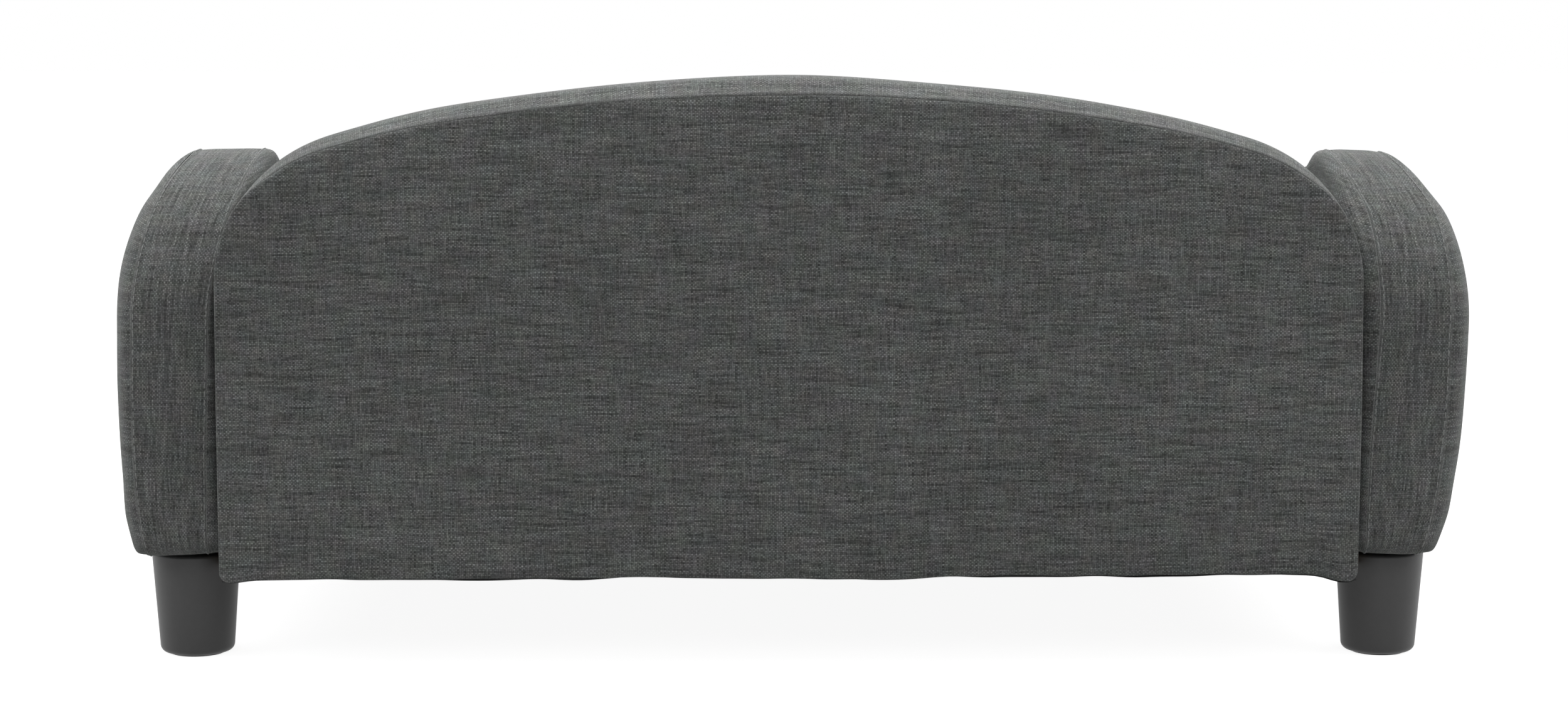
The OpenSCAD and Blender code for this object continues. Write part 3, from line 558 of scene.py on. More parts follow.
def pressed_felt():
    """Dark grey felt, pressed from short hairs."""
    material = bpy.data.materials.new("pressed_felt")
    tree = blank_tree(material)
    place = object_place(tree)
    hairs = mottle(tree, place, 1500, 4.0, (1, 1, 0.3), 0.7)
    colour = blend_colour(tree, hairs, (0.035, 0.034, 0.033, 1), (0.13, 0.125, 0.12, 1))
    normal = bumped(tree, hairs, 0.7, 0.0004)
    add_surface(
        tree, {"Base Color": colour, "Roughness": 0.95, "Sheen Weight": 0.3, "Normal": normal}
    )
    return material


finish_solid("leg_glides", pressed_felt())


# ------------------------------------------------------------------ arms
# Each arm is a wooden box with foam glued on, in a cover sewn from three panels: one on the
# outside, one on the seat side, and a band between them that follows the arm's outline.
class Skin:
    """Collects the points, faces and flat chart of one sewn piece."""

    def __init__(self):
        self.points, self.faces, self.charts = [], [], []
        self.count = 0

    def add(self, points):
        """Takes an array of points of any shape and returns their numbers in the same shape."""
        numbers = np.arange(int(np.prod(points.shape[:-1]))) + self.count
        self.points.append(points.reshape(-1, 3))
        self.count += len(numbers)
        return numbers.reshape(points.shape[:-1])

    def cover(self, numbers, chart):
        """Faces between neighbours in a grid of point numbers, with the chart at each."""
        for grid, store in ((numbers[..., None], self.faces), (chart, self.charts)):
            corners = [grid[:-1, :-1], grid[1:, :-1], grid[1:, 1:], grid[:-1, 1:]]
            stacked = np.stack(corners, axis=2)
            store.append(stacked.reshape(-1, 4, grid.shape[-1]))

    def build(self, name, material):
        """Makes the object, with its faces turned outward and shaded smooth."""
        mesh = bpy.data.meshes.new(name)
        faces = np.concatenate(self.faces)[..., 0]
        mesh.from_pydata(np.concatenate(self.points).tolist(), [], faces.tolist())
        layer = mesh.uv_layers.new(name="chart")
        layer.data.foreach_set("uv", np.concatenate(self.charts).reshape(-1).astype(np.float32))
        shape = bmesh.new()
        shape.from_mesh(mesh)
        bmesh.ops.recalc_face_normals(shape, faces=shape.faces)
        shape.to_mesh(mesh)
        shape.free()
        mesh.shade_smooth()
        mesh.materials.append(material)
        return put_in_scene(name, mesh)


def close_ring(ring):
    """A ring of points with its first one again at the end."""
    return np.concatenate([ring, ring[:1]])


def run_length(points):
    """Distance along a row of points, from 0."""
    steps = np.linalg.norm(np.diff(points, axis=0), axis=1)
    return np.concatenate([[0], np.cumsum(steps)])


def as_it_is(grid):
    """Leaves a grid where it is."""
    return grid


def inside_grid(ring, rise, run):
    """A grid over a closed ring of 2 (rise + run) points: up one side, over the top, down, back."""
    side = ring[: rise + 1]
    top = ring[rise: rise + run + 1]
    far = ring[rise + run: 2 * rise + run + 1][::-1]
    foot = np.concatenate([ring[2 * rise + run:], ring[:1]])[::-1]
    s = np.linspace(0, 1, run + 1)[:, None, None]
    t = np.linspace(0, 1, rise + 1)[None, :, None]
    grid = (1 - s) * side[None] + s * far[None] + (1 - t) * foot[:, None] + t * top[:, None]
    grid -= (1 - s) * ((1 - t) * side[0] + t * side[-1]) + s * ((1 - t) * far[0] + t * far[-1])
    return grid


def rim_numbers(numbers, rise, run):
    """The numbers of a ring laid out on the border of its grid; inner places hold -1."""
    grid = np.full((run + 1, rise + 1), -1)
    ring = close_ring(numbers)
    grid[0] = ring[: rise + 1]
    grid[:, -1] = ring[rise: rise + run + 1]
    grid[-1] = ring[rise + run: 2 * rise + run + 1][::-1]
    grid[:, 0] = ring[2 * rise + run:][::-1]
    return grid


def fill_ring(skin, numbers, ring, chart, rise, run, form):
    """Closes a ring with a grid; form puts the grid's inner points on the panel's surface."""
    grid = form(inside_grid(ring, rise, run))
    flat = inside_grid(chart, rise, run)
    places = rim_numbers(numbers, rise, run)
    places[1:-1, 1:-1] = skin.add(grid[1:-1, 1:-1])
    skin.cover(places, flat)


def arc_points(centre, radius, start, stop, steps):
    """Points on a round corner, without the last one; angles in degrees."""
    angles = np.radians(np.linspace(start, stop, steps, endpoint=False))
    return np.stack([centre[0] + radius * np.cos(angles), centre[1] + radius * np.sin(angles)], 1)


def line_points(start, stop, steps):
    """Points on a straight side, without the last one."""
    share = np.linspace(0, 1, steps, endpoint=False)[:, None]
    return np.array(start) * (1 - share) + np.array(stop) * share


band_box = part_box("left_arm_boxing")
arm_front = band_box[0].y
arm_rear = band_box[1].y
arm_foot = band_box[0].z
arm_crest = band_box[1].z - 0.0025
seat_face = 0.3353
seat_step = 0.3388
deck_level = 0.1167
box_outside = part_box("left_arm_outer_plate")[1].x
box_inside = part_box("left_arm_inner_plate")[0].x
box_cover = 0.0134
fullest = 0.2045
lean_radius = 0.220
dome_reach = 0.040
rear_round = 0.100
front_round = 0.080
front_drop = 0.030
foot_round = 0.012
top_slope = 5.58
top_turn_start = 0.262
top_turn_rate = 3.0
foot_steps = 3
upright_steps = 24
arm_rise = 41
arm_run = 90


def arm_outline(inset, lift=0.0):
    """Points (y, z) round the side of an arm, in by inset except underneath, where it is lift."""
    rear_centre = (arm_rear - rear_round, arm_crest - rear_round)
    front_centre = (arm_front + front_round, arm_crest - front_drop - front_round)
    rear_foot = (arm_rear - inset - foot_round, arm_foot + lift + foot_round)
    front_foot = (arm_front + inset + foot_round, arm_foot + lift + foot_round)
    rear_r = rear_round - inset
    front_r = front_round - inset
    lean_over = math.radians(90 + top_slope)
    tip = np.array([math.cos(lean_over), math.sin(lean_over)])
    turn_over = 90 + top_slope
    return np.concatenate([
        arc_points(rear_foot, foot_round, -45, 0, foot_steps),
        line_points((arm_rear - inset, rear_foot[1]), (arm_rear - inset, rear_centre[1]),
                    upright_steps),
        arc_points(rear_centre, rear_r, 0, turn_over, 28),
        line_points(rear_centre + rear_r * tip, front_centre + front_r * tip, 62),
        arc_points(front_centre, front_r, turn_over, 180, 28),
        line_points((arm_front + inset, front_centre[1]), (arm_front + inset, front_foot[1]),
                    upright_steps),
        arc_points(front_foot, foot_round, 180, 270, 6),
        line_points((front_foot[0], arm_foot + lift), (rear_foot[0], arm_foot + lift), 84),
        arc_points(rear_foot, foot_round, 270, 315, foot_steps),
    ])


def lean(z):
    """How far the arm leans in over the seat at height z."""
    return np.maximum(0, z - fullest) ** 2 / (2 * lean_radius)


def top_turn(z):
    """How much further the outer side turns in near the top."""
    return top_turn_rate * np.maximum(0, z - top_turn_start) ** 2


def smooth_noise(x, pitch, seed):
    """Gentle ups and downs from -1 to 1 along x, one about every pitch."""
    knots = np.random.default_rng(seed).uniform(-1, 1, 4096)
    place = x / pitch + 64
    low = np.floor(place).astype(int) % 4095
    share = place - np.floor(place)
    share = share * share * (3 - 2 * share)
    return knots[low] * (1 - share) + knots[low + 1] * share


def step_up(x, low, high):
    """0 below low, 1 above high, and smooth between."""
    share = np.clip((x - low) / (high - low), 0, 1)
    return share * share * (3 - 2 * share)


def pull_cloth(piece, depth, size, seed, hold=None):
    """Moves the cloth in and out by up to depth, in soft hollows about size across."""
    mesh = piece.data
    count = len(mesh.vertices)
    places = np.zeros(count * 3, np.float32)
    normals = np.zeros(count * 3, np.float32)
    mesh.vertices.foreach_get("co", places)
    mesh.vertices.foreach_get("normal", normals)
    places = places.reshape(-1, 3).astype(float)
    normals = normals.reshape(-1, 3)
    start = Vector((seed * 3.7, seed * 1.3, seed * 5.1))
    amounts = np.array([noise.noise(Vector(p) / size + start) for p in places]) * depth
    if hold is not None:
        amounts *= hold(places)
    places += normals * amounts[:, None]
    mesh.vertices.foreach_set("co", places.reshape(-1).astype(np.float32))
    mesh.update()


def dress(piece, bodies, nodes, levels=1):
    """Smooths a piece, sets it on its body and hides the solids it stands for."""
    if levels:
        smooth = piece.modifiers.new("smooth", "SUBSURF")
        smooth.levels = smooth.render_levels = levels
        smooth.boundary_smooth = "PRESERVE_CORNERS"
    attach(piece, bodies)
    if nodes:
        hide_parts(*nodes)


inner_roll = 0.0085
roll_reach = 0.06
roll_heights = (0.22, 0.29)
rear_round_y = arm_rear - rear_round
crest_inside = 0.325
crest_width = 0.042
droop_heights = (0.24, 0.30)
foot_sag = 0.0012
sag_inside = 0.345
sag_width = 0.03
sag_height = 0.02


class Arm:
    """One arm's own way of standing: its side, and how its lower part tucks in."""

    def __init__(self, name, side, tuck, tuck_power, full, shoulder, droop, fold, seed,
                 outer_seam, inner_seam):
        self.name = name
        self.side = side
        self.tuck = tuck
        self.tuck_power = tuck_power
        self.full = full
        self.shoulder = shoulder
        self.droop = droop
        self.fold = fold
        self.seed = seed
        self.outer_seam = outer_seam
        self.inner_seam = inner_seam

    def bow(self, z):
        """How far the outer side has moved in at height z."""
        low = np.clip((fullest - z) / (fullest - arm_foot), 0, 1)
        return lean(z) + top_turn(z) + self.tuck * low ** self.tuck_power

    def at(self, x, outline):
        """Puts an outline up at x on this arm's side; its crest droops outward, rolls inward."""
        x = x + np.zeros(len(outline))
        y, z = outline[:, 0], outline[:, 1]
        outward = np.clip((x - crest_inside) / crest_width, 0, 2)
        forward = step_up(rear_round_y - y, 0.0, roll_reach)
        rolled = inner_roll * np.clip(1 - outward, 0, 1) * forward
        under = 1 - step_up(z, arm_foot, arm_foot + sag_height)
        sagging = foot_sag * np.clip((x - sag_inside) / sag_width, 0, 1) * under
        drooping = self.droop * outward * step_up(z, *droop_heights)
        z = z - drooping - rolled * step_up(z, *roll_heights) - sagging
        return np.stack([self.side * x, y, z], 1)


# The seams wander a little from side to side on their way up; they are given at these heights,
# as they would be on an arm that stood upright.
seam_heights = (0.085, 0.132, 0.195, 0.235, 0.268, 0.300)
arms = [
    Arm(
        "left_arm", side=1, tuck=0.0098, tuck_power=3.2, full=0.3986, shoulder=0.0050,
        droop=0.0007, fold=0.0002, seed=11,
        outer_seam=(0.3876, 0.3859, 0.3843, 0.3840, 0.3842, 0.3854),
        inner_seam=(0.3428, 0.3422, 0.3400, 0.3386, 0.3390, 0.3396),
    ),
    Arm(
        "right_arm", side=-1, tuck=0.0175, tuck_power=2.7, full=0.4030, shoulder=-0.0035,
        droop=0.0016, fold=0.0012, seed=23,
        outer_seam=(0.3890, 0.3867, 0.3863, 0.3882, 0.3910, 0.3890),
        inner_seam=(0.3396, 0.3409, 0.3452, 0.3472, 0.3510, 0.3494),
    ),
]

pucker_depth = 0.00022
pucker_pitch = 0.010
pucker_reach = 0.008
ridge_height = 0.00018
ridge_reach = 0.009
sink_depth = 0.0006
sink_pitch = 0.045
dome_steps = 18
fold_place = 0.0046
fold_width = 0.0014
fold_starts = (0.235, 0.255)
fold_ends = (0.278, 0.298)
box_lift = 0.0012
square_height = 0.05
square_reach = 0.15
square_share = 0.7


def dome_profile(bulge, reach, steps):
    """Rings of a padded panel: shares of its bulge, and steps in, from a ridge along its seam."""
    ridge = [(0, -ridge_height), (min(0.3, 0.0006 / bulge), -0.3 * ridge_height),
             (min(0.5, 0.0014 / bulge), ridge_height)]
    angles = np.linspace(0, math.pi / 2, steps + 1)
    kept = angles[np.sin(angles) > ridge[-1][0] + 0.04]
    return ridge + [(math.sin(a), max(reach * (1 - math.cos(a)), ridge[-1][1])) for a in kept]


def square_foot(outline, inset):
    """Keeps the lower corners of a domed panel square, where its cloth is pulled under the arm."""
    low = 1 - step_up(outline[:, 1], arm_foot, arm_foot + square_height)
    outline[:, 0] += np.clip(outline[:, 0] / square_reach, -1, 1) * inset * square_share * low
    return outline


def arm_panel(arm, part, crease, bulge, reach, face, back_x):
    """A padded side panel: folded over its seam, domed, and closed by a flat back on the box."""
    skin = Skin()
    profile = dome_profile(bulge, reach, dome_steps)
    lengths = run_length(np.array(profile) * (bulge, 1))
    around = run_length(close_ring(arm_outline(0)))[:-1]
    rings = [arm.at(back_x, arm_outline(box_cover, box_lift))]
    charts = [arm_outline(reach - lengths[-1] + 0.004)]
    for index, (share, inset) in enumerate(profile):
        near = math.exp(-(lengths[index] / ridge_reach) ** 2)
        ripple = smooth_noise(around, pucker_pitch, arm.seed + 1) * pucker_depth * near
        sink = smooth_noise(around, sink_pitch, arm.seed + 2) * sink_depth * share
        outline = square_foot(arm_outline(inset, min(max(inset, 0), 0.0006)), max(inset, 0))
        y, z = outline[:, 0], outline[:, 1]
        room = face(arm, y, z) - crease(arm, z)
        depth = np.abs(room)
        if part == "inner_panel":
            groove = np.exp(-((depth * share - fold_place) / fold_width) ** 2)
            groove = groove * step_up(z, *fold_starts)
            groove *= 1 - step_up(z, *fold_ends)
            outline = offset_outline(outline, -arm.fold * groove)
        stand = room * share + np.sign(room) * (ripple + sink)
        rings.append(arm.at(crease(arm, z) + stand, outline))
        charts.append(arm_outline(reach - (lengths[-1] - lengths[index])))
    numbers = [skin.add(ring) for ring in rings]
    wrap = np.array([close_ring(n) for n in numbers])
    flat = np.array([close_ring(c) for c in charts])
    skin.cover(wrap, flat)

    def on_face(grid):
        """Puts the panel's inner points on the pad."""
        grid[..., 0] = arm.side * face(arm, grid[..., 1], grid[..., 2])
        return grid

    fill_ring(skin, numbers[-1], rings[-1], charts[-1], arm_rise, arm_run, on_face)
    fill_ring(skin, numbers[0], rings[0], charts[0], arm_rise, arm_run, as_it_is)
    return skin.build(f"{arm.name}_{part}", upholstery_cloth)


shoulder_hollow = 0.0021
hollow_height = 0.281
hollow_width = 0.009
foot_gather = 0.0028
gather_heights = (0.073, 0.093)
deck_step = 0.0035
shoulder_heights = (0.260, 0.286)
backrest_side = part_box("back_boxing")[1].x + 0.0015
backrest_slip = 0.0006
touching_from = (0.2180, 0.2215)
touching_up_to = (0.205, 0.240)


def outer_crease(arm, z):
    """Where the outer seam runs at height z."""
    return np.interp(z, seam_heights, arm.outer_seam) - arm.bow(z)


def outer_face(arm, y, z):
    """The outer pad: hollow below the crest, and gathered in where it is pulled under the arm."""
    hollow = shoulder_hollow * np.exp(-((z - hollow_height) / hollow_width) ** 2)
    gathered = foot_gather * (1 - step_up(z, *gather_heights))
    return arm.full - arm.bow(z) - hollow - gathered


def inner_crease(arm, z):
    """Where the seam on the seat side runs at height z."""
    return np.interp(z, seam_heights, arm.inner_seam) - lean(z)


def inner_face(arm, y, z):
    """The pad stands back beside the seat base, is full above it, and rests on the backrest."""
    above = step_up(z, deck_level, deck_level + deck_step)
    step = seat_step - (seat_step - seat_face) * above
    free = step - lean(z) - arm.shoulder * step_up(z, *shoulder_heights)
    touching = backrest_side + arm.side * backrest_slip
    behind = step_up(y, *touching_from) * (1 - step_up(z, *touching_up_to))
    return free + (touching - free) * behind


# Across the band, as a share of the way from the outer to the inner seam, with how far it stands
# out there. Both edges are turned under.
band_profile = [
    (-0.020, -0.0012), (-0.008, -0.0002), (0.008, 0.0002), (0.024, 0.0001), (0.044, -0.0001),
    (0.068, 0.0000),
    (0.092, 0.0001), (0.13, 0.0002), (0.20, 0.0004), (0.28, 0.0005), (0.37, 0.0005),
    (0.50, 0.0005), (0.63, 0.0005), (0.72, 0.0005), (0.80, 0.0004), (0.87, 0.0002),
    (0.908, 0.0001), (0.934, 0.0000), (0.956, -0.0001), (0.976, 0.0001), (0.992, 0.0002),
    (1.008, -0.0002), (1.020, -0.0012),
]
band_wide = 0.045
band_lining = 0.0115
band_slack = 0.0004
bend_depth = 0.0009
bend_swell = 0.0006
outline_run = run_length(close_ring(arm_outline(0)))
crest_start = outline_run[foot_steps + upright_steps]
band_bends = {"left_arm": crest_start + 0.052, "right_arm": crest_start + 0.032}


def band_height(arm, around, share):
    """How far the band stands out: puckered along both seams, creased where the top bends over."""
    near = np.exp(-((np.minimum(share, 1 - share) * band_wide) / pucker_reach) ** 2)
    pucker = smooth_noise(around, pucker_pitch, arm.seed + 3 + (share > 0.5)) * pucker_depth * near
    slack = smooth_noise(around, 0.060, arm.seed + 6) * band_slack * (1 - near)
    bend = band_bends[arm.name]
    fold = -bend_depth * np.exp(-((around - bend) / 0.004) ** 2)
    swell = bend_swell * np.exp(-((around - bend - 0.010) / 0.006) ** 2)
    return pucker + slack + fold + swell


def arm_band(arm):
    """The band between the two seams, with the foam under it, closed round the wooden box."""
    skin = Skin()
    around = outline_run[:-1]
    rings = []
    flat = []
    reach = 0.0
    for index, (share, height) in enumerate(band_profile):
        outline = arm_outline(0)
        z = outline[:, 1]
        stand = height + band_height(arm, around, share)
        raised = offset_outline(outline, stand)
        x = outer_crease(arm, z) * (1 - share) + inner_crease(arm, z) * share
        rings.append(arm.at(x, raised))
        if index:
            last_share, last_height = band_profile[index - 1]
            reach += math.hypot((share - last_share) * band_wide, height - last_height)
        flat.append(np.stack([outline_run, np.full(len(outline_run), reach)], 1))
    for share, position in ((0.98, inner_crease), (0.02, outer_crease)):
        outline = arm_outline(band_lining, band_lining)
        x = position(arm, outline[:, 1])
        x = x + (0.001 if share > 0.5 else -0.001)
        rings.append(arm.at(x, outline))
        reach += 0.01
        flat.append(np.stack([outline_run, np.full(len(outline_run), reach)], 1))
    numbers = [skin.add(ring) for ring in rings]
    numbers.append(numbers[0])
    flat.append(np.stack([outline_run, np.full(len(outline_run), reach + 0.01)], 1))
    skin.cover(np.array([close_ring(n) for n in numbers]), np.array(flat))
    return skin.build(f"{arm.name}_band", upholstery_cloth)


def ring_normals(outline):
    """Outward directions along a closed outline that runs anticlockwise."""
    ahead = np.roll(outline, -1, axis=0) - np.roll(outline, 1, axis=0)
    ahead /= np.linalg.norm(ahead, axis=1)[:, None]
    return np.stack([ahead[:, 1], -ahead[:, 0]], 1)


def offset_outline(outline, stand):
    """An outline moved outward by stand at each point."""
    return outline + ring_normals(outline) * np.asarray(stand)[:, None]


for arm in arms:
    outer = arm_panel(arm, "outer_panel", outer_crease, arm.full - arm.outer_seam[3], dome_reach,
                      outer_face, box_outside)
    pull_cloth(outer, 0.0009, 0.085, arm.seed)
    inner = arm_panel(arm, "inner_panel", inner_crease, 0.0110, 0.0100, inner_face, box_inside)
    band = arm_band(arm)
    dress(outer, "frame", [f"{arm.name}_outer_cover", f"{arm.name}_outer_pad"])
    dress(inner, "frame", [f"{arm.name}_inner_cover", f"{arm.name}_inner_pad"])
    dress(band, "frame", [f"{arm.name}_boxing", f"{arm.name}_edge_foam"])


# ------------------------------------------------------------------ arm topstitching
# Both seams of each band are topstitched with a pale thread, a millimetre inside the fold,
# at about five stitches to the inch.
stitch_in = 0.0010
stitch_length = 0.0040
stitch_pitch = 0.0052
thread_radius = 0.00027
bar_sides = 6


def matt_thread():
    """Pale grey polyester thread."""
    material = bpy.data.materials.new("pale_thread")
    tree = blank_tree(material)
    place = object_place(tree)
    shade = mottle(tree, place, 900, 3.0)
    colour = blend_colour(tree, shade, (0.14, 0.144, 0.14, 1), (0.27, 0.277, 0.27, 1))
    normal = bumped(tree, shade, 0.4, 0.0001)
    add_surface(
        tree, {"Base Color": colour, "Roughness": 0.7, "Sheen Weight": 0.2, "Normal": normal}
    )
    return material


pale_thread = matt_thread()


def add_bar(points, faces, middles, radii, across, up):
    """Adds a short six-sided bar round a row of middles, closed at both ends."""
    start = len(points)
    last = start + (len(middles) - 1) * bar_sides
    for middle, radius in zip(middles, radii):
        for k in range(bar_sides):
            a = 2 * math.pi * k / bar_sides
            points.append(middle + radius * (across * math.cos(a) + up * math.sin(a)))
    for row in range(start, last, bar_sides):
        for k in range(bar_sides):
            a, b = row + k, row + (k + 1) % bar_sides
            faces.append((a, b, b + bar_sides, a + bar_sides))
    faces.append(tuple(start + k for k in reversed(range(bar_sides))))
    faces.append(tuple(last + k for k in range(bar_sides)))


def sew(name, path, outward, material, pitch=stitch_pitch, length=stitch_length,
        radius=thread_radius):
    """Stitches along a path: each comes out of the cloth, lies on it and goes back in."""
    distance = run_length(path)
    spots = np.arange(pitch, distance[-1] - pitch / 2, pitch)
    lifts = np.array([-1.5, 0.45, 0.8, 0.45, -1.5]) * radius
    shares = np.array([-0.5, -0.36, 0.0, 0.36, 0.5]) * length
    radii = radius * np.array([0.55, 1, 1, 1, 0.55])
    points, faces = [], []
    for spot in spots:
        at = spot + shares
        place = np.stack([np.interp(at, distance, path[:, k]) for k in range(3)], 1)
        up = np.array([np.interp(spot, distance, outward[:, k]) for k in range(3)])
        up /= np.linalg.norm(up)
        ahead = place[-1] - place[0]
        ahead /= np.linalg.norm(ahead)
        beside = np.cross(up, ahead)
        add_bar(points, faces, place + up * lifts[:, None], radii, beside, up)
    return make_piece(name, points, faces, material)


for arm in arms:
    outline = arm_outline(0)
    normals = ring_normals(outline)
    normals = np.stack([np.zeros(len(normals)), normals[:, 0], normals[:, 1]], 1)
    for seam, share in (("outer", stitch_in / band_wide), ("inner", 1 - stitch_in / band_wide)):
        stand = 0.0001 + band_height(arm, outline_run[:-1], share)
        raised = offset_outline(outline, stand)
        z = outline[:, 1]
        x = outer_crease(arm, z) * (1 - share) + inner_crease(arm, z) * share
        path = close_ring(arm.at(x, raised))
        stitches = sew(f"{arm.name}_{seam}_topstitching", path, close_ring(normals), pale_thread)
        dress(stitches, "frame", [], levels=0)


# ------------------------------------------------------------------ backrest
# The backrest is a board and a hoop with foam on its front and round its edge. Its cover has a
# flat rear panel, a crowned band over the arch and a padded front panel.
rear_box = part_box("back_rear_cover")
back_rear = rear_box[1].y
back_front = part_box("back_front_cover")[0].y
back_foot = rear_box[0].z
back_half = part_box("back_boxing")[1].x + 0.0012
back_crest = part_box("back_boxing")[1].z - 0.0022
arch_radius = 1.100
shoulder_radius = 0.088
back_foot_radius = 0.005
crown_rise = 0.010
crown_reach = 0.016
crown_angles = (0, 28, 36, 41, 46, 52, 62, 76, 84, 90)
crown_shares = (0.03, 0.05, 0.10, 0.22, 0.38, 0.50, 0.58, 0.64, 0.84, 1.0)
pad_bottom = 0.1667
bare_front = 0.2168
arch_centre = back_crest - arch_radius
shoulder_x = back_half - shoulder_radius
shoulder_z = arch_centre + math.sqrt((arch_radius - shoulder_radius) ** 2 - shoulder_x ** 2)
shoulder_angle = math.degrees(math.atan2(shoulder_z - arch_centre, shoulder_x))
back_rise = 49
back_run = 132


def back_outline(sink, inset=0.0, lift=0.0):
    """Points (x, z) round the backrest, in by inset, and by sink, which is less at the sides."""
    def drop(angles):
        """How far in the outline is where the arch faces these directions, in degrees."""
        return sink * np.interp(angles, crown_angles, crown_shares) + inset

    def corner(centre, radius, angles):
        """Points on a round part of the outline."""
        rim = radius - drop(angles)
        turn = np.radians(angles)
        return np.stack([centre[0] + rim * np.cos(turn), centre[1] + rim * np.sin(turn)], 1)

    side_x = back_half - drop(0.0)
    foot = (side_x - back_foot_radius, back_foot + lift + back_foot_radius)
    up = np.concatenate([
        arc_points(foot, back_foot_radius, -45, 0, 3),
        line_points((side_x, foot[1]), (side_x, shoulder_z), 34),
        corner((shoulder_x, shoulder_z), shoulder_radius,
               np.linspace(0, shoulder_angle, 24, endpoint=False)),
        corner((0, arch_centre), arch_radius, np.linspace(shoulder_angle, 90, 54, endpoint=False)),
    ])
    crest = corner((0, arch_centre), arch_radius, np.array([90.0]))
    down = up[:0:-1] * (-1, 1)
    left_start = up[:1] * (-1, 1)
    floor_line = np.concatenate([
        left_start,
        arc_points((-foot[0], foot[1]), back_foot_radius, 225, 270, 3)[1:],
        line_points((-foot[0], back_foot + lift), (foot[0], back_foot + lift), 126),
        arc_points(foot, back_foot_radius, 270, 315, 3),
    ])
    return np.concatenate([up, crest, down, floor_line])


back_run_length = run_length(close_ring(back_outline(crown_rise)))


def soft_bumps(x, places):
    """Bumps along x, each with its middle, its half width and its height, all added up."""
    return sum(height * np.exp(-((x - middle) / half) ** 2) for middle, half, height in places)


def soft_steps(x, places):
    """Steps towards one side, each with its side, its start, its end and its height, added up."""
    return sum(height * step_up(side * x, start, end) for side, start, end, height in places)


# How far the rear panel's lower edge hangs below the board, and how far the arch has settled.
hem_evenly = 0.0011
hem_height = 0.03
hem_waver = 0.0003
hem_bumps = ((-0.035, 0.035, 0.0009), (0.075, 0.030, -0.0007), (-0.325, 0.012, 0.0044),
             (0.327, 0.010, 0.0019))
hem_steps = ((1, 0.10, 0.30, 0.0008), (-1, 0.07, 0.10, -0.0010), (-1, 0.20, 0.27, -0.0008))
arch_settled = 0.0009
arch_bumps = ((0.0, 0.05, -0.0009), (0.215, 0.045, -0.0012), (-0.24, 0.035, -0.0008))
arch_steps = ((1, 0.20, 0.29, 0.0012), (-1, 0.20, 0.29, 0.0012), (-1, 0.17, 0.28, 0.0012))
arch_heights = (0.20, 0.28)


def hem_drop(x):
    """How far the rear panel's lower edge hangs down: it is stapled under by hand."""
    drop = hem_evenly + soft_bumps(x, hem_bumps) + soft_steps(x, hem_steps)
    return drop + hem_waver * smooth_noise(x, 0.018, 5)


def stand_back(points):
    """Moves the upholstery of the backrest to where it really sits between the arms."""
    points[..., 0] += backrest_slip
    x, z = points[..., 0], points[..., 2]
    hanging = 1 - step_up(z, back_foot, back_foot + hem_height)
    settled = arch_settled + soft_bumps(x, arch_bumps) + soft_steps(x, arch_steps)
    points[..., 2] -= hem_drop(x) * hanging + settled * step_up(z, *arch_heights)
    return points


def flat_plate(y, outline):
    """Puts an (x, z) outline up at y, which is a number or one for each point."""
    return np.stack([outline[:, 0], y + np.zeros(len(outline)), outline[:, 1]], 1)


arch_tuck = 0.0004
arch_roll = 0.0030
panel_lining = 0.012
panel_swell = 0.0012
swell_half = 0.33
swell_heights = (0.06, 0.16)
# From the fold at its seam to its middle: how far the rear panel stands out, and how far in.
panel_steps = [(-0.0017, 0.0009), (-0.0013, 0.0003), (-0.0007, 0.0001), (-0.0002, 0.0006),
               (0.0001, 0.0016), (0.0003, 0.0036), (0.0005, 0.0070), (0.0007, 0.0120),
               (0.0008, 0.0180)]


def back_panel(name, steps, face, back_y, facing, seed):
    """A flat padded panel of the backrest, from its seam fold to its middle, with a flat back."""
    skin = Skin()
    around = back_run_length[:-1]
    lengths = run_length(np.array(steps))
    rings = [flat_plate(back_y, back_outline(crown_rise, panel_lining, 0.003))]
    charts = [back_outline(crown_rise, panel_lining, panel_lining)]
    for index, (out, inset) in enumerate(steps):
        near = math.exp(-(lengths[index] / 0.010) ** 2)
        ripple = smooth_noise(around, 0.011, seed) * 0.00012 * near
        outline = back_outline(crown_rise, inset, inset)
        y = face(outline[:, 1]) + facing * (out + ripple)
        tucked = arch_tuck * near * step_up(outline[:, 1], 0.26, 0.30)
        rings.append(flat_plate(y, offset_outline(outline, -tucked)))
        flat_inset = steps[-1][1] - (lengths[-1] - lengths[index])
        charts.append(back_outline(crown_rise, flat_inset, flat_inset))
    placed = [stand_back(ring) for ring in rings]
    numbers = [skin.add(ring) for ring in placed]
    wrap = np.array([close_ring(n) for n in numbers])
    skin.cover(wrap, np.array([close_ring(c) for c in charts]))

    def on_face(grid):
        """Puts the panel's inner points on its face, which swells a little in the middle."""
        x = grid[..., 0] - backrest_slip
        z = grid[..., 2]
        swell = panel_swell * np.clip(1 - (x / swell_half) ** 2, 0, 1)
        grid[..., 1] = face(z) + facing * (steps[-1][0] + swell * step_up(z, *swell_heights))
        return grid

    fill_ring(skin, numbers[-1], placed[-1], charts[-1], back_rise, back_run, on_face)
    fill_ring(skin, numbers[0], placed[0], charts[0], back_rise, back_run, as_it_is)
    return skin.build(name, back_cloth)


def rear_face(z):
    """The rear panel is flat."""
    return back_rear + 0.0 * z


def front_face(z):
    """The padded front stands forward of the board, down to the foam's lower edge."""
    pad = step_up(z, pad_bottom - 0.004, pad_bottom + 0.012)
    return bare_front - (bare_front - back_front) * pad


def front_seam(z):
    """The front seam lies a little behind the middle of the padded front."""
    return front_face(z) + front_seam_back * step_up(z, pad_bottom + 0.002, pad_bottom + 0.014)


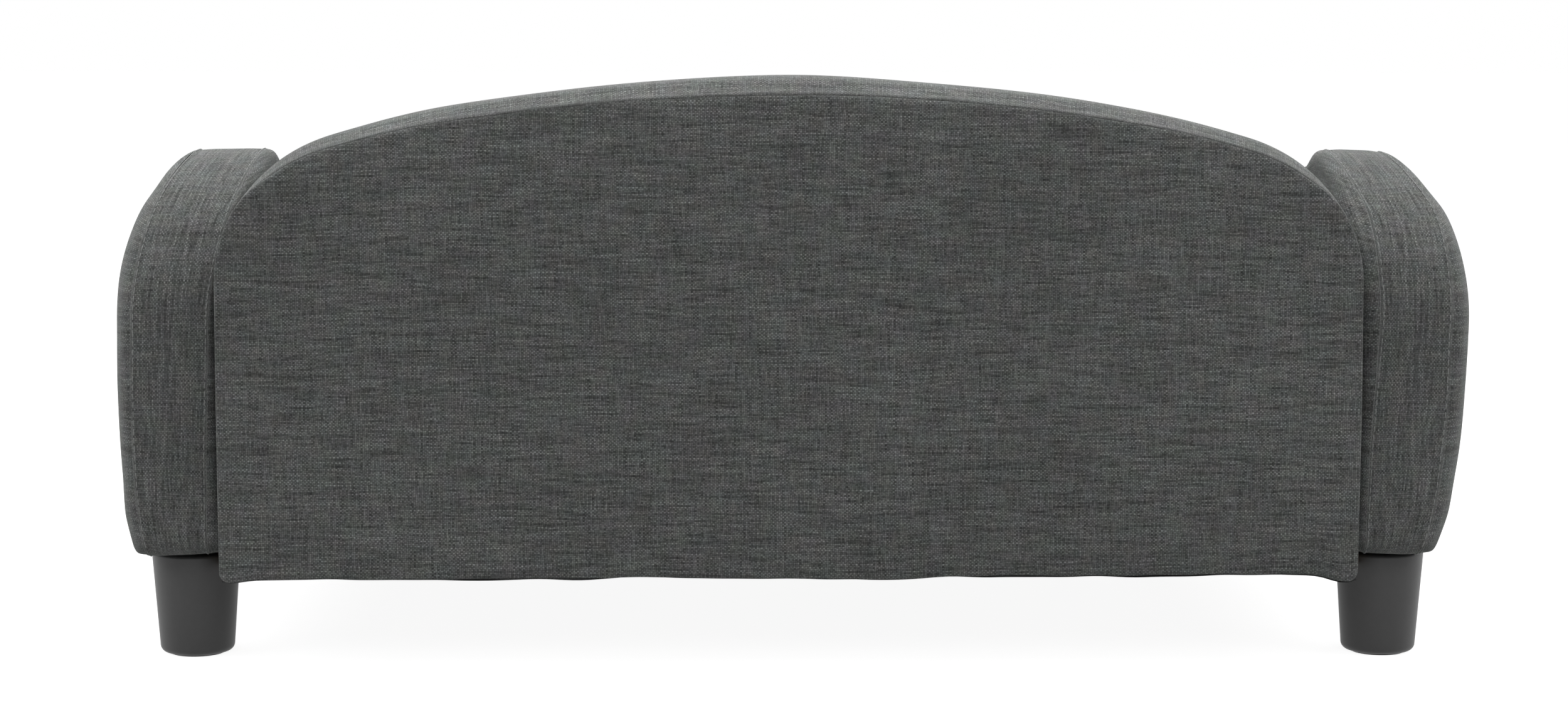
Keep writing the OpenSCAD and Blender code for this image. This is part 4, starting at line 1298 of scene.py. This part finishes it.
front_seam_back = 0.006
rear_panel_lining = 0.2432
rear_panel_free = 0.2452
front_panel_lining = 0.2180
front_panel_free = 0.205
rear_panel = back_panel("backrest_rear_panel", panel_steps, rear_face, rear_panel_lining, 1, 31)
pull_cloth(rear_panel, 0.0008, 0.11, 7, hold=lambda p: p[:, 1] > rear_panel_free)
front_steps = [(-0.0006, 0.0022), (0.0002, 0.0010), (0.0008, 0.0004), (0.0018, 0.0006),
               (0.0030, 0.0014), (0.0045, 0.0034), (0.0056, 0.0070), (0.0062, 0.0120),
               (0.0066, 0.0190)]
front_panel = back_panel(
    "backrest_front_panel", front_steps, front_seam, front_panel_lining, -1, 41
)
pull_cloth(front_panel, 0.0016, 0.09, 9, hold=lambda p: p[:, 1] < front_panel_free)


band_shares = (0.0, 0.015, 0.04, 0.08, 0.14, 0.22, 0.31, 0.40, 0.50, 0.60, 0.69, 0.78, 0.86, 0.92,
               0.96, 0.985, 1.0)
rear_seam_in = 0.0018
roll_place = 0.0010
back_lining = 0.0125


def back_band():
    """The crowned band between the rear and front seams, with its foam, closed round the hoop."""
    skin = Skin()
    around = back_run_length[:-1]
    rings, flat, reach = [], [], 0.0
    outline = back_outline(0)
    z = outline[:, 1]
    crown_room = np.linalg.norm(outline - back_outline(crown_rise), axis=1)
    for index, share in enumerate(band_shares):
        rear = back_rear - rear_seam_in
        front = front_seam(z) + 0.0002
        y = rear * (1 - share) + front * share
        from_seam = np.minimum(rear - y, y - front)
        sink = crown_room * (1 - np.minimum(1, from_seam / crown_reach)) ** 2
        near = np.exp(-(from_seam / 0.007) ** 2)
        fold = 0.0008 * np.exp(-(from_seam / 0.0006) ** 2)
        ripple = smooth_noise(around, 0.012, 51 + (share > 0.5)) * 0.00010 * near
        slack = smooth_noise(around, 0.08, 57) * 0.0005 * (1 - near)
        stand = -sink - fold + ripple + slack
        raised = offset_outline(outline, stand)
        roll = arch_roll * np.exp(-((from_seam - roll_place) / roll_place) ** 2)
        y = y + roll * step_up(z, 0.27, 0.31) * (share < 0.5)
        rings.append(stand_back(flat_plate(y, raised)))
        if index:
            reach = reach + np.linalg.norm(close_ring(rings[-1]) - close_ring(rings[-2]), axis=1)
        flat.append(np.stack([back_run_length, reach + np.zeros(len(back_run_length))], 1))
    for side in ("front", "rear"):
        outline = back_outline(crown_rise, back_lining, back_lining)
        y = front_seam(outline[:, 1]) + 0.001 if side == "front" else back_rear - 0.0040
        rings.append(stand_back(flat_plate(y, outline)))
        reach = reach + 0.01
        flat.append(np.stack([back_run_length, reach], 1))
    numbers = [skin.add(ring) for ring in rings]
    numbers.append(numbers[0])
    flat.append(flat[-1] + (0, 0.01))
    skin.cover(np.array([close_ring(n) for n in numbers]), np.array(flat))
    return skin.build("backrest_band", back_cloth)


band = back_band()
dress(rear_panel, "frame", ["back_rear_cover", "back_wadding"])
dress(front_panel, "frame", ["back_front_cover", "back_front_foam"])
dress(band, "frame", ["back_boxing", "back_edge_foam"])


# ------------------------------------------------------------------ seat base
# The front rail has a strip of foam on it. One piece of cloth is stapled under the rail, goes up
# over the foam and back across the deck. Short strips cover the base's corners, ends and sides.
cover_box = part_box("seat_cover")
base_front = cover_box[0].y
base_foot = cover_box[0].z
deck_rear = cover_box[1].y
base_half = seat_step - 0.0004
rail_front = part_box("front_rail")[0].y
cloth_thick = 0.0012
front_swell = 0.0014
front_slack = 0.0006
base_rim = 0.0090
base_turn_under = 0.016
rail_middle = 0.08


def base_profile():
    """The cover's outer line (y, z), from under the front rail to the deck's rear edge, its core
    (the nearest place on the wood under each point), and its lining, evenly along the wood."""
    rim = base_rim
    outer = [(base_front + base_turn_under, base_foot), (base_front + 0.006, base_foot),
             (base_front + 0.0022, base_foot + 0.0008), (base_front + 0.0006, base_foot + 0.0030)]
    for share in np.linspace(0.12, 0.92, 10):
        z = base_foot + share * (deck_level - rim - base_foot)
        outer.append((base_front - front_swell * math.sin(math.pi * share), z))
    outer += [(base_front + rim + rim * math.cos(a), deck_level - rim + rim * math.sin(a))
              for a in map(math.radians, range(180, 89, -15))]
    outer += [(y, deck_level) for y in np.linspace(base_front + 0.014, deck_rear, 84)]
    wood_low, wood_high = base_foot + cloth_thick, deck_level - cloth_thick
    core = []
    for y, z in outer:
        near = min(max(y, rail_front), deck_rear)
        level = min(z, wood_high)
        if y > rail_front:
            level = wood_low if z < rail_middle else wood_high
        core.append((near, max(level, wood_low)))
    wood = np.array([(base_front + base_turn_under, wood_low), (rail_front, wood_low),
                     (rail_front, wood_high), (deck_rear, wood_high)])
    along = run_length(np.array(outer))
    wood_length = run_length(wood)
    places = along / along[-1] * wood_length[-1]
    lining = np.stack([np.interp(places, wood_length, wood[:, axis]) for axis in (0, 1)], 1)
    return np.array(outer), np.array(core), lining


def seat_base_cover():
    """The cover of the deck and the front rail, closed on the wood under it."""
    outer, core, lining = base_profile()
    across = np.linspace(-base_half, base_half, 136)
    skin = Skin()
    edge = np.clip((np.abs(across) - (base_half - 0.004)) / 0.004, 0, 1)
    fullness = 0.30 + 0.70 * np.sqrt(1 - edge ** 2)
    slack = smooth_noise(across, 0.05, 61) * front_slack
    grids = []
    full = fullness[:, None, None]
    on_wood = np.broadcast_to(lining, (len(across),) + lining.shape)
    for yz in (core + (outer - core) * full, on_wood):
        grid = np.concatenate([np.repeat(across[:, None, None], len(outer), 1), yz], 2)
        if not grids:
            front = (outer[:, 1] < deck_level - 0.004) & (outer[:, 1] > base_foot + 0.004)
            grid[:, front, 1] += slack[:, None]
        grids.append(skin.add(grid))
    length = run_length(outer)
    chart = np.stack(np.broadcast_arrays(across[:, None], length[None]), 2)
    skin.cover(grids[0], chart)
    skin.cover(grids[1], chart)
    for column in (0, -1):
        pair = np.stack([grids[0][column], grids[1][column]])
        skin.cover(pair, np.stack([chart[column], chart[column] + (0.001, 0)]))
    for row in (0, -1):
        pair = np.stack([grids[0][:, row], grids[1][:, row]])
        skin.cover(pair, np.stack([chart[:, row], chart[:, row] + (0, 0.001)]))
    return skin.build("seat_base_cover", back_cloth)


base_cover = seat_base_cover()
pull_cloth(base_cover, 0.0004, 0.07, 13, hold=lambda p: p[:, 2] > deck_level - 0.0004)
dress(base_cover, "frame", ["seat_cover", "front_pad"], levels=0)


strip_step = 0.004
weld_reach = 0.00001


def folded_strip(name, corner, size, material):
    """A thin strip of cloth with soft edges, size (x, y, z) from its lowest corner."""
    skin = Skin()
    x = np.linspace(0, size[0], 4)
    y, z = (np.linspace(0, s, max(4, int(s / strip_step))) for s in size[1:])
    faces = []
    for axis, rows, columns in ((0, y, z), (1, x, z), (2, x, y)):
        for end in (0, 1):
            u, v = np.meshgrid(rows, columns, indexing="ij")
            flat = np.full(u.shape, size[axis] * end)
            parts = [u, v]
            parts.insert(axis, flat)
            faces.append((np.stack(parts, 2) + corner, np.stack([u, v], 2)))
    for grid, chart in faces:
        skin.cover(skin.add(grid), chart)
    piece = skin.build(name, material)
    shape = bmesh.new()
    shape.from_mesh(piece.data)
    bmesh.ops.remove_doubles(shape, verts=shape.verts, dist=weld_reach)
    bmesh.ops.recalc_face_normals(shape, faces=shape.faces)
    shape.to_mesh(piece.data)
    shape.free()
    piece.data.shade_smooth()
    return piece


corner_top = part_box("left_side_rail")[1].z
leg_low, leg_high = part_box("front_left_leg")
leg_radius = (leg_high.x - leg_low.x) / 2
leg_aside = leg_low.x + leg_radius - base_half - cloth_thick
leg_reach = math.sqrt(leg_radius ** 2 - leg_aside ** 2) + 0.0005
front_leg_y = (leg_low.y + leg_high.y) / 2
rear_leg_y = (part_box("rear_left_leg")[0].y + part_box("rear_left_leg")[1].y) / 2
end_strip_start = base_front + 0.0030
side_strip_start = front_leg_y + leg_reach
shown_rail = arm_foot - 0.0003 - base_foot
side_strips = {
    "base_corner_strip": (back_half - 0.006, deck_rear - 0.0005, cloth_thick, base_half,
                          corner_top - base_foot),
    "base_end_strip": (base_half, end_strip_start, front_leg_y - leg_reach - end_strip_start,
                       base_half + cloth_thick, shown_rail),
    "base_side_strip": (base_half, side_strip_start, rear_leg_y - leg_reach - side_strip_start,
                        base_half + cloth_thick, shown_rail),
}
for side, name in ((1, "left"), (-1, "right")):
    for part, (near, rear, long, far, high) in side_strips.items():
        corner = np.array((min(side * near, side * far), rear, base_foot))
        strip = folded_strip(f"{name}_{part}", corner, (far - near, long, high), upholstery_cloth)
        dress(strip, "frame", [])


# ------------------------------------------------------------------ cover under the base
# A sheet of black spun-bonded cloth is stapled under the base. Its rear edge shows here and
# there as a thin dark line below the backrest.
def spun_bond():
    """Black spun-bonded cloth: a web of fine threads pressed together in rows of dots."""
    material = bpy.data.materials.new("spun_bond_cloth")
    tree = blank_tree(material)
    place = object_place(tree)
    web = mottle(tree, place, 700, 5.0, (1, 1, 1), 0.65)
    dots = add_node(
        tree, "ShaderNodeTexVoronoi", {"Vector": place, "Scale": 420.0, "Randomness": 0.15}
    ).outputs["Distance"]
    pressed = ramp(tree, dots, 0.15, 0.45)
    colour = blend_colour(tree, web, (0.006, 0.006, 0.006, 1), (0.022, 0.022, 0.022, 1))
    relief = calc(tree, "MULTIPLY_ADD", web, 0.5, pressed)
    rough = ramp(tree, pressed, first=0.6, last=0.9)
    normal = bumped(tree, relief, 0.4, 0.0002)
    add_surface(
        tree, {"Base Color": colour, "Roughness": rough, "Sheen Weight": 0.1, "Normal": normal}
    )
    return material


black_cloth = spun_bond()
dust_low, dust_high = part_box("dust_cover")
leg_middle = (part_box("rear_left_leg")[0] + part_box("rear_left_leg")[1]) / 2
leg_room = 0.0273
dust_thick = 0.0006
dust_sag = 0.0016
dust_waver = 0.0005


def under_cover():
    """The sheet, cut back round the legs, sagging a little, with its rear edge under the hem."""
    rows = np.linspace(dust_low.y, dust_high.y - 0.0030, 100)
    share = np.linspace(-1, 1, 134)
    half = np.full(len(rows), dust_high.x)
    for leg_y in (leg_middle.y, front_leg_y):
        reach = leg_room ** 2 - (rows - leg_y) ** 2
        beside = np.minimum(half, leg_middle.x - np.sqrt(np.maximum(reach, 0)))
        half = np.where(reach > 0, beside, half)
    x = share[:, None] * half[None]
    y = np.repeat(rows[None], len(share), 0)
    from_sides = np.minimum(1, (1 - np.abs(share))[:, None] * 8)
    from_ends = np.minimum(1, np.minimum(rows - dust_low.y, dust_high.y - rows)[None] / 0.05)
    inward = from_sides * from_ends
    at_hem = step_up(y, dust_high.y - 0.014, dust_high.y - 0.004)
    loose = hem_drop(x) - 0.0001 + dust_waver * smooth_noise(x, 0.030, 71)
    z = dust_high.z - 0.0002 - dust_sag * inward * (1 - at_hem) - loose * at_hem
    skin = Skin()
    top = skin.add(np.stack([x, y, z], 2))
    chart = np.stack([x, y], 2)
    low = skin.add(np.stack([x, y, z - dust_thick], 2))
    skin.cover(top, chart)
    skin.cover(low, chart)
    everything = slice(None)
    for side in ((0,), (-1,), (everything, 0), (everything, -1)):
        edge = chart[side]
        skin.cover(np.stack([top[side], low[side]]), np.stack([edge, edge + (0, dust_thick)]))
    return skin.build("dust_cover_cloth", black_cloth)


dust_cloth = under_cover()
pull_cloth(dust_cloth, 0.0005, 0.05, 17)
dress(dust_cloth, "frame", ["dust_cover"], levels=0)

staple_inset = 0.012
staple_pitch, staple_length, staple_radius = 0.046, 0.0100, 0.00035
staple_x = dust_high.x - staple_inset
staple_front = dust_low.y + staple_inset
staple_rear = dust_high.y - staple_inset
corners = np.array([(staple_x, staple_rear), (-staple_x, staple_rear), (-staple_x, staple_front),
                    (staple_x, staple_front), (staple_x, staple_rear)])
staple_path = np.concatenate([corners, np.full((5, 1), dust_low.z + 0.0003)], 1)
staple_down = np.repeat([(0.0, 0.0, -1.0)], 5, 0)
staples = sew("dust_cover_staples", staple_path, staple_down, bright_zinc, staple_pitch,
              staple_length, staple_radius)
dress(staples, "frame", [], levels=0)


# ------------------------------------------------------------------ seat cushion
# A loose foam cushion in a boxed cover: an upper and a lower panel sewn to a border, with a zip
# in the rear border. It lies on the deck between the arms and lifts out.
cushion_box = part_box("cushion_cover")
cushion_half = cushion_box[1].x
cushion_front = cushion_box[0].y
cushion_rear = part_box("zip_chain")[0].y
cushion_foot = cushion_box[0].z
cushion_top = cushion_box[1].z
cushion_round = 0.028
cushion_rise = 54
cushion_run = 82
zip_height = 0.1440
border_top = 0.1726
border_foot = 0.1222
cushion_clear = 0.0035


def cushion_outline(inset):
    """Points (x, y) round the cushion seen from above, from its rear left corner."""
    half = cushion_half - inset
    front, rear = cushion_front + inset, cushion_rear - inset
    r = max(cushion_round - inset, 0.006)
    return np.concatenate([
        arc_points((half - r, front + r), r, -45, 0, 4),
        line_points((half, front + r), (half, rear - r), 46),
        arc_points((half - r, rear - r), r, 0, 90, 8),
        line_points((half - r, rear), (r - half, rear), 74),
        arc_points((r - half, rear - r), r, 90, 180, 8),
        line_points((-half, rear - r), (-half, front + r), 46),
        arc_points((r - half, front + r), r, 180, 270, 8),
        line_points((r - half, front), (half - r, front), 74),
        arc_points((half - r, front + r), r, 270, 315, 4),
    ])


# How far each ring of the cover stands in from the cushion's outline, and its height. Both
# seams are pulled in between their two rows.
cushion_rings = [
    (0.030, cushion_foot), (0.018, cushion_foot + 0.0001), (0.009, cushion_foot + 0.0006),
    (0.0036, cushion_foot + 0.0018), (0.0012, cushion_foot + 0.0036), (0.0020, border_foot),
    (0.0008, border_foot + 0.0014), (0.0006, border_foot + 0.0040), (0.0006, 0.1312),
    (0.0006, 0.1364), (0.0006, zip_height - 0.0030), (0.0006, zip_height + 0.0030),
    (0.0006, 0.1516), (0.0006, 0.1576), (0.0006, 0.1630), (0.0006, border_top - 0.0040),
    (0.0008, border_top - 0.0014),
    (0.0020, border_top), (0.0012, border_top + 0.0014), (0.0034, border_top + 0.0030),
    (0.0085, border_top + 0.0050), (0.0175, border_top + 0.0068), (0.030, border_top + 0.0080),
]
lower_stitch_ring, lower_seam_ring, upper_seam_ring, upper_stitch_ring = 3, 5, 17, 19
crown_power = 0.6


def cushion_skin():
    """The sewn cover round its foam, and the numbers of its points ring by ring."""
    skin = Skin()
    rings, charts, reach = [], [], 0.0
    around = run_length(close_ring(cushion_outline(0)))
    for index, (inset, z) in enumerate(cushion_rings):
        outline = cushion_outline(inset)
        rings.append(np.column_stack([outline, np.full(len(outline), z)]))
        if lower_seam_ring <= index <= upper_seam_ring:
            charts.append(np.stack([around, np.full(len(around), z)], 1))
        else:
            drop = abs(z - (border_top if z > zip_height else border_foot))
            charts.append(close_ring(cushion_outline(max(inset - drop, -0.01))))
    numbers = [skin.add(ring) for ring in rings]
    wrap = np.array([close_ring(n) for n in numbers])
    panels = ((0, lower_seam_ring), (lower_seam_ring, upper_seam_ring),
              (upper_seam_ring, len(rings) - 1))
    for start, stop in panels:
        flat = charts[start: stop + 1]
        if start != lower_seam_ring:
            flat[-1 if start == 0 else 0] = close_ring(cushion_outline(0))
        skin.cover(wrap[start: stop + 1], np.array(flat))

    def crown(grid):
        """Raises the upper panel's inner points to the full height of the cushion."""
        x, y = grid[..., 0], grid[..., 1]
        middle = (cushion_front + cushion_rear) / 2
        half_depth = (cushion_rear - cushion_front) / 2
        rise = (1 - (x / cushion_half) ** 4) * (1 - ((y - middle) / half_depth) ** 4)
        level = rings[-1][0, 2]
        grid[..., 2] = level + (cushion_top - level) * np.clip(rise, 0, 1) ** crown_power
        return grid

    fill_ring(skin, numbers[-1], rings[-1], charts[-1][:-1], cushion_rise, cushion_run, crown)
    fill_ring(skin, numbers[0], rings[0], charts[0][:-1], cushion_rise, cushion_run, as_it_is)
    return skin.build("seat_cushion", back_cloth), wrap


def held_firmly(place):
    """True for what the stuffing doesn't move: the underside, both seams and the zip."""
    on_seam = min(abs(place.z - border_top), abs(place.z - border_foot)) < 0.0006
    on_zip = place.y > cushion_rear - 0.002 and abs(place.z - zip_height) < 0.0078
    return place.z < border_foot - 0.0003 or on_seam or on_zip


stuffing_frames = 20


def stuff(piece, pressure, furthest):
    """Blows the cover up against its seams by cloth simulation, and keeps that in the mesh."""
    mesh = piece.data
    sewn = piece.vertex_groups.new(name="sewn")
    sewn.add([v.index for v in mesh.vertices if held_firmly(v.co)], 1.0, "REPLACE")
    cloth = piece.modifiers.new("stuffing", "CLOTH")
    settings = cloth.settings
    settings.quality = 6
    settings.mass = 0.25
    settings.tension_stiffness = 25
    settings.compression_stiffness = 12
    settings.shear_stiffness = 8
    settings.bending_stiffness = 0.8
    settings.vertex_group_mass = "sewn"
    settings.use_pressure = True
    settings.uniform_pressure_force = pressure
    settings.effector_weights.gravity = 0
    cloth.collision_settings.use_collision = False
    cloth.point_cache.frame_start = 1
    cloth.point_cache.frame_end = stuffing_frames
    scene = bpy.context.scene
    for step in range(1, stuffing_frames + 1):
        scene.frame_set(step)
    solved = piece.evaluated_get(bpy.context.evaluated_depsgraph_get()).data
    count = len(mesh.vertices)
    before, after = np.zeros(count * 3, np.float32), np.zeros(count * 3, np.float32)
    mesh.vertices.foreach_get("co", before)
    solved.vertices.foreach_get("co", after)
    move = (after - before).reshape(-1, 3)
    far = np.maximum(np.linalg.norm(move, axis=1), 1e-9)
    move *= (furthest * np.tanh(far / furthest) / far)[:, None]
    place = before.reshape(-1, 3) + move
    widest = cushion_half + cushion_clear
    place[:, 0] = np.clip(place[:, 0], -widest, widest)
    place[:, 1] = np.clip(place[:, 1], cushion_front - cushion_clear, cushion_rear + cushion_clear)
    piece.modifiers.remove(cloth)
    mesh.vertices.foreach_set("co", place.reshape(-1).astype(np.float32))
    mesh.update()
    scene.frame_set(1)


stuffing_pressure = 4.0
stuffing_reach = 0.007
cushion, cushion_wrap = cushion_skin()
stuff(cushion, stuffing_pressure, stuffing_reach)


def free_cloth(places):
    """Where the cushion's cloth may wander: not on its seams, its underside or its zip."""
    border = np.minimum(np.abs(places[:, 2] - border_top), np.abs(places[:, 2] - border_foot))
    free = np.clip(border / 0.006, 0, 1) * (places[:, 2] > border_foot)
    zipped = (places[:, 1] > cushion_rear - 0.004) & (np.abs(places[:, 2] - zip_height) < 0.014)
    return free * (1 - zipped)


pull_cloth(cushion, 0.0022, 0.075, 19, hold=free_cloth)
pull_cloth(cushion, 0.0006, 0.022, 29, hold=free_cloth)
dress(cushion, "cushion", ["cushion_foam", "cushion_cover"])

settled = np.zeros(len(cushion.data.vertices) * 3, np.float32)
cushion.data.vertices.foreach_get("co", settled)
settled = settled.reshape(-1, 3).astype(float)
for name, ring, up in (("upper", upper_stitch_ring, 0.6), ("lower", lower_stitch_ring, -0.6)):
    path = settled[cushion_wrap[ring]]
    flat = close_ring(ring_normals(cushion_outline(0)))
    outward = np.column_stack([flat * 0.8, np.full(len(flat), up)])
    stitches = sew(f"cushion_{name}_topstitching", path, outward, pale_thread)
    dress(stitches, "cushion", [], levels=0)


# ------------------------------------------------------------------ zip
# A black coil zip closes the cushion's rear border: a woven tape with a nylon coil down its
# middle, end stops, and a slider with a pull that hangs from a pin.
def zip_tape_cloth():
    """Black polyester tape in a fine, tight weave."""
    material = bpy.data.materials.new("zip_tape_cloth")
    tree = blank_tree(material)
    chart = add_node(tree, "ShaderNodeUVMap", uv_map="chart").outputs[0]
    weave = put_group(tree, plain_weave, Chart=chart, Yarns=(1900, 1900, 1), Wander=0.0002)
    colour = blend_colour(tree, weave["Weft"], (0.008, 0.008, 0.008, 1), (0.026, 0.026, 0.026, 1))
    dusty = ramp(tree, weave["Weft Shade"], 0.3, 0.7)
    shaded = blend_colour(tree, dusty, colour, (0.03, 0.03, 0.03, 1))
    rough = ramp(tree, weave["Weft Shade"], first=0.7, last=0.9)
    normal = bumped(tree, weave["Height"], 0.5, 0.0002)
    add_surface(
        tree, {"Base Color": shaded, "Roughness": rough, "Sheen Weight": 0.1, "Normal": normal}
    )
    return material


zip_low, zip_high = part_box("zip_chain")
tape_half = (zip_high.z - zip_low.z) / 2
tape_thick = 0.0005
tooth_pitch = 0.00135
tooth_radius = 0.00036
tooth_shift = 0.00035
coil_end = 0.003
tape = folded_strip(
    "zip_tape",
    np.array((zip_low.x, cushion_rear - 0.0004, zip_height - tape_half)),
    (zip_high.x - zip_low.x, tape_thick, 2 * tape_half),
    zip_tape_cloth(),
)
dress(tape, "cushion", [], levels=0)


def coil_teeth():
    """Short bars of nylon across the tape, a tooth's width apart, one side over the other."""
    spots = np.arange(zip_low.x + coil_end, zip_high.x - coil_end, tooth_pitch)
    reach = np.array([-0.0024, -0.0021, 0.0, 0.0021, 0.0024])
    radii = np.array([0.4, 1.0, 1.0, 1.0, 0.4]) * tooth_radius
    along_zip, outward = np.array((1.0, 0.0, 0.0)), np.array((0.0, 1.0, 0.0))
    points, faces = [], []
    for number, spot in enumerate(spots):
        shift = tooth_shift if number % 2 else -tooth_shift
        middles = [np.array((spot, cushion_rear + tooth_radius, zip_height + along + shift))
                   for along in reach]
        add_bar(points, faces, middles, radii, along_zip, outward)
    return make_piece("zip_coil", points, faces, washer_plastic)


coil = coil_teeth()
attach(coil, "cushion")
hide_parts("zip_chain")


def gunmetal():
    """Dark plated zinc casting, rubbed bright on its edges."""
    material = bpy.data.materials.new("gunmetal")
    tree = blank_tree(material)
    place = object_place(tree)
    cloud = mottle(tree, place, 500, 3.0)
    colour = blend_colour(tree, cloud, (0.10, 0.10, 0.105, 1), (0.17, 0.17, 0.175, 1))
    edge_mask = put_group(tree, raised_edge, Place=place, Grain=900.0)["Rubbed"]
    edge_toned = blend_colour(tree, edge_mask, colour, (0.55, 0.54, 0.52, 1))
    rough = ramp(tree, cloud, first=0.25, last=0.42)
    normal = bumped(tree, cloud, 0.15, 0.0001)
    add_surface(tree, {"Base Color": edge_toned, "Metallic": 0.9, "Roughness": rough, "Normal": normal})
    return material


dark_metal = gunmetal()
finish_solid("zip_slider", dark_metal)
finish_solid("zip_pull", dark_metal)
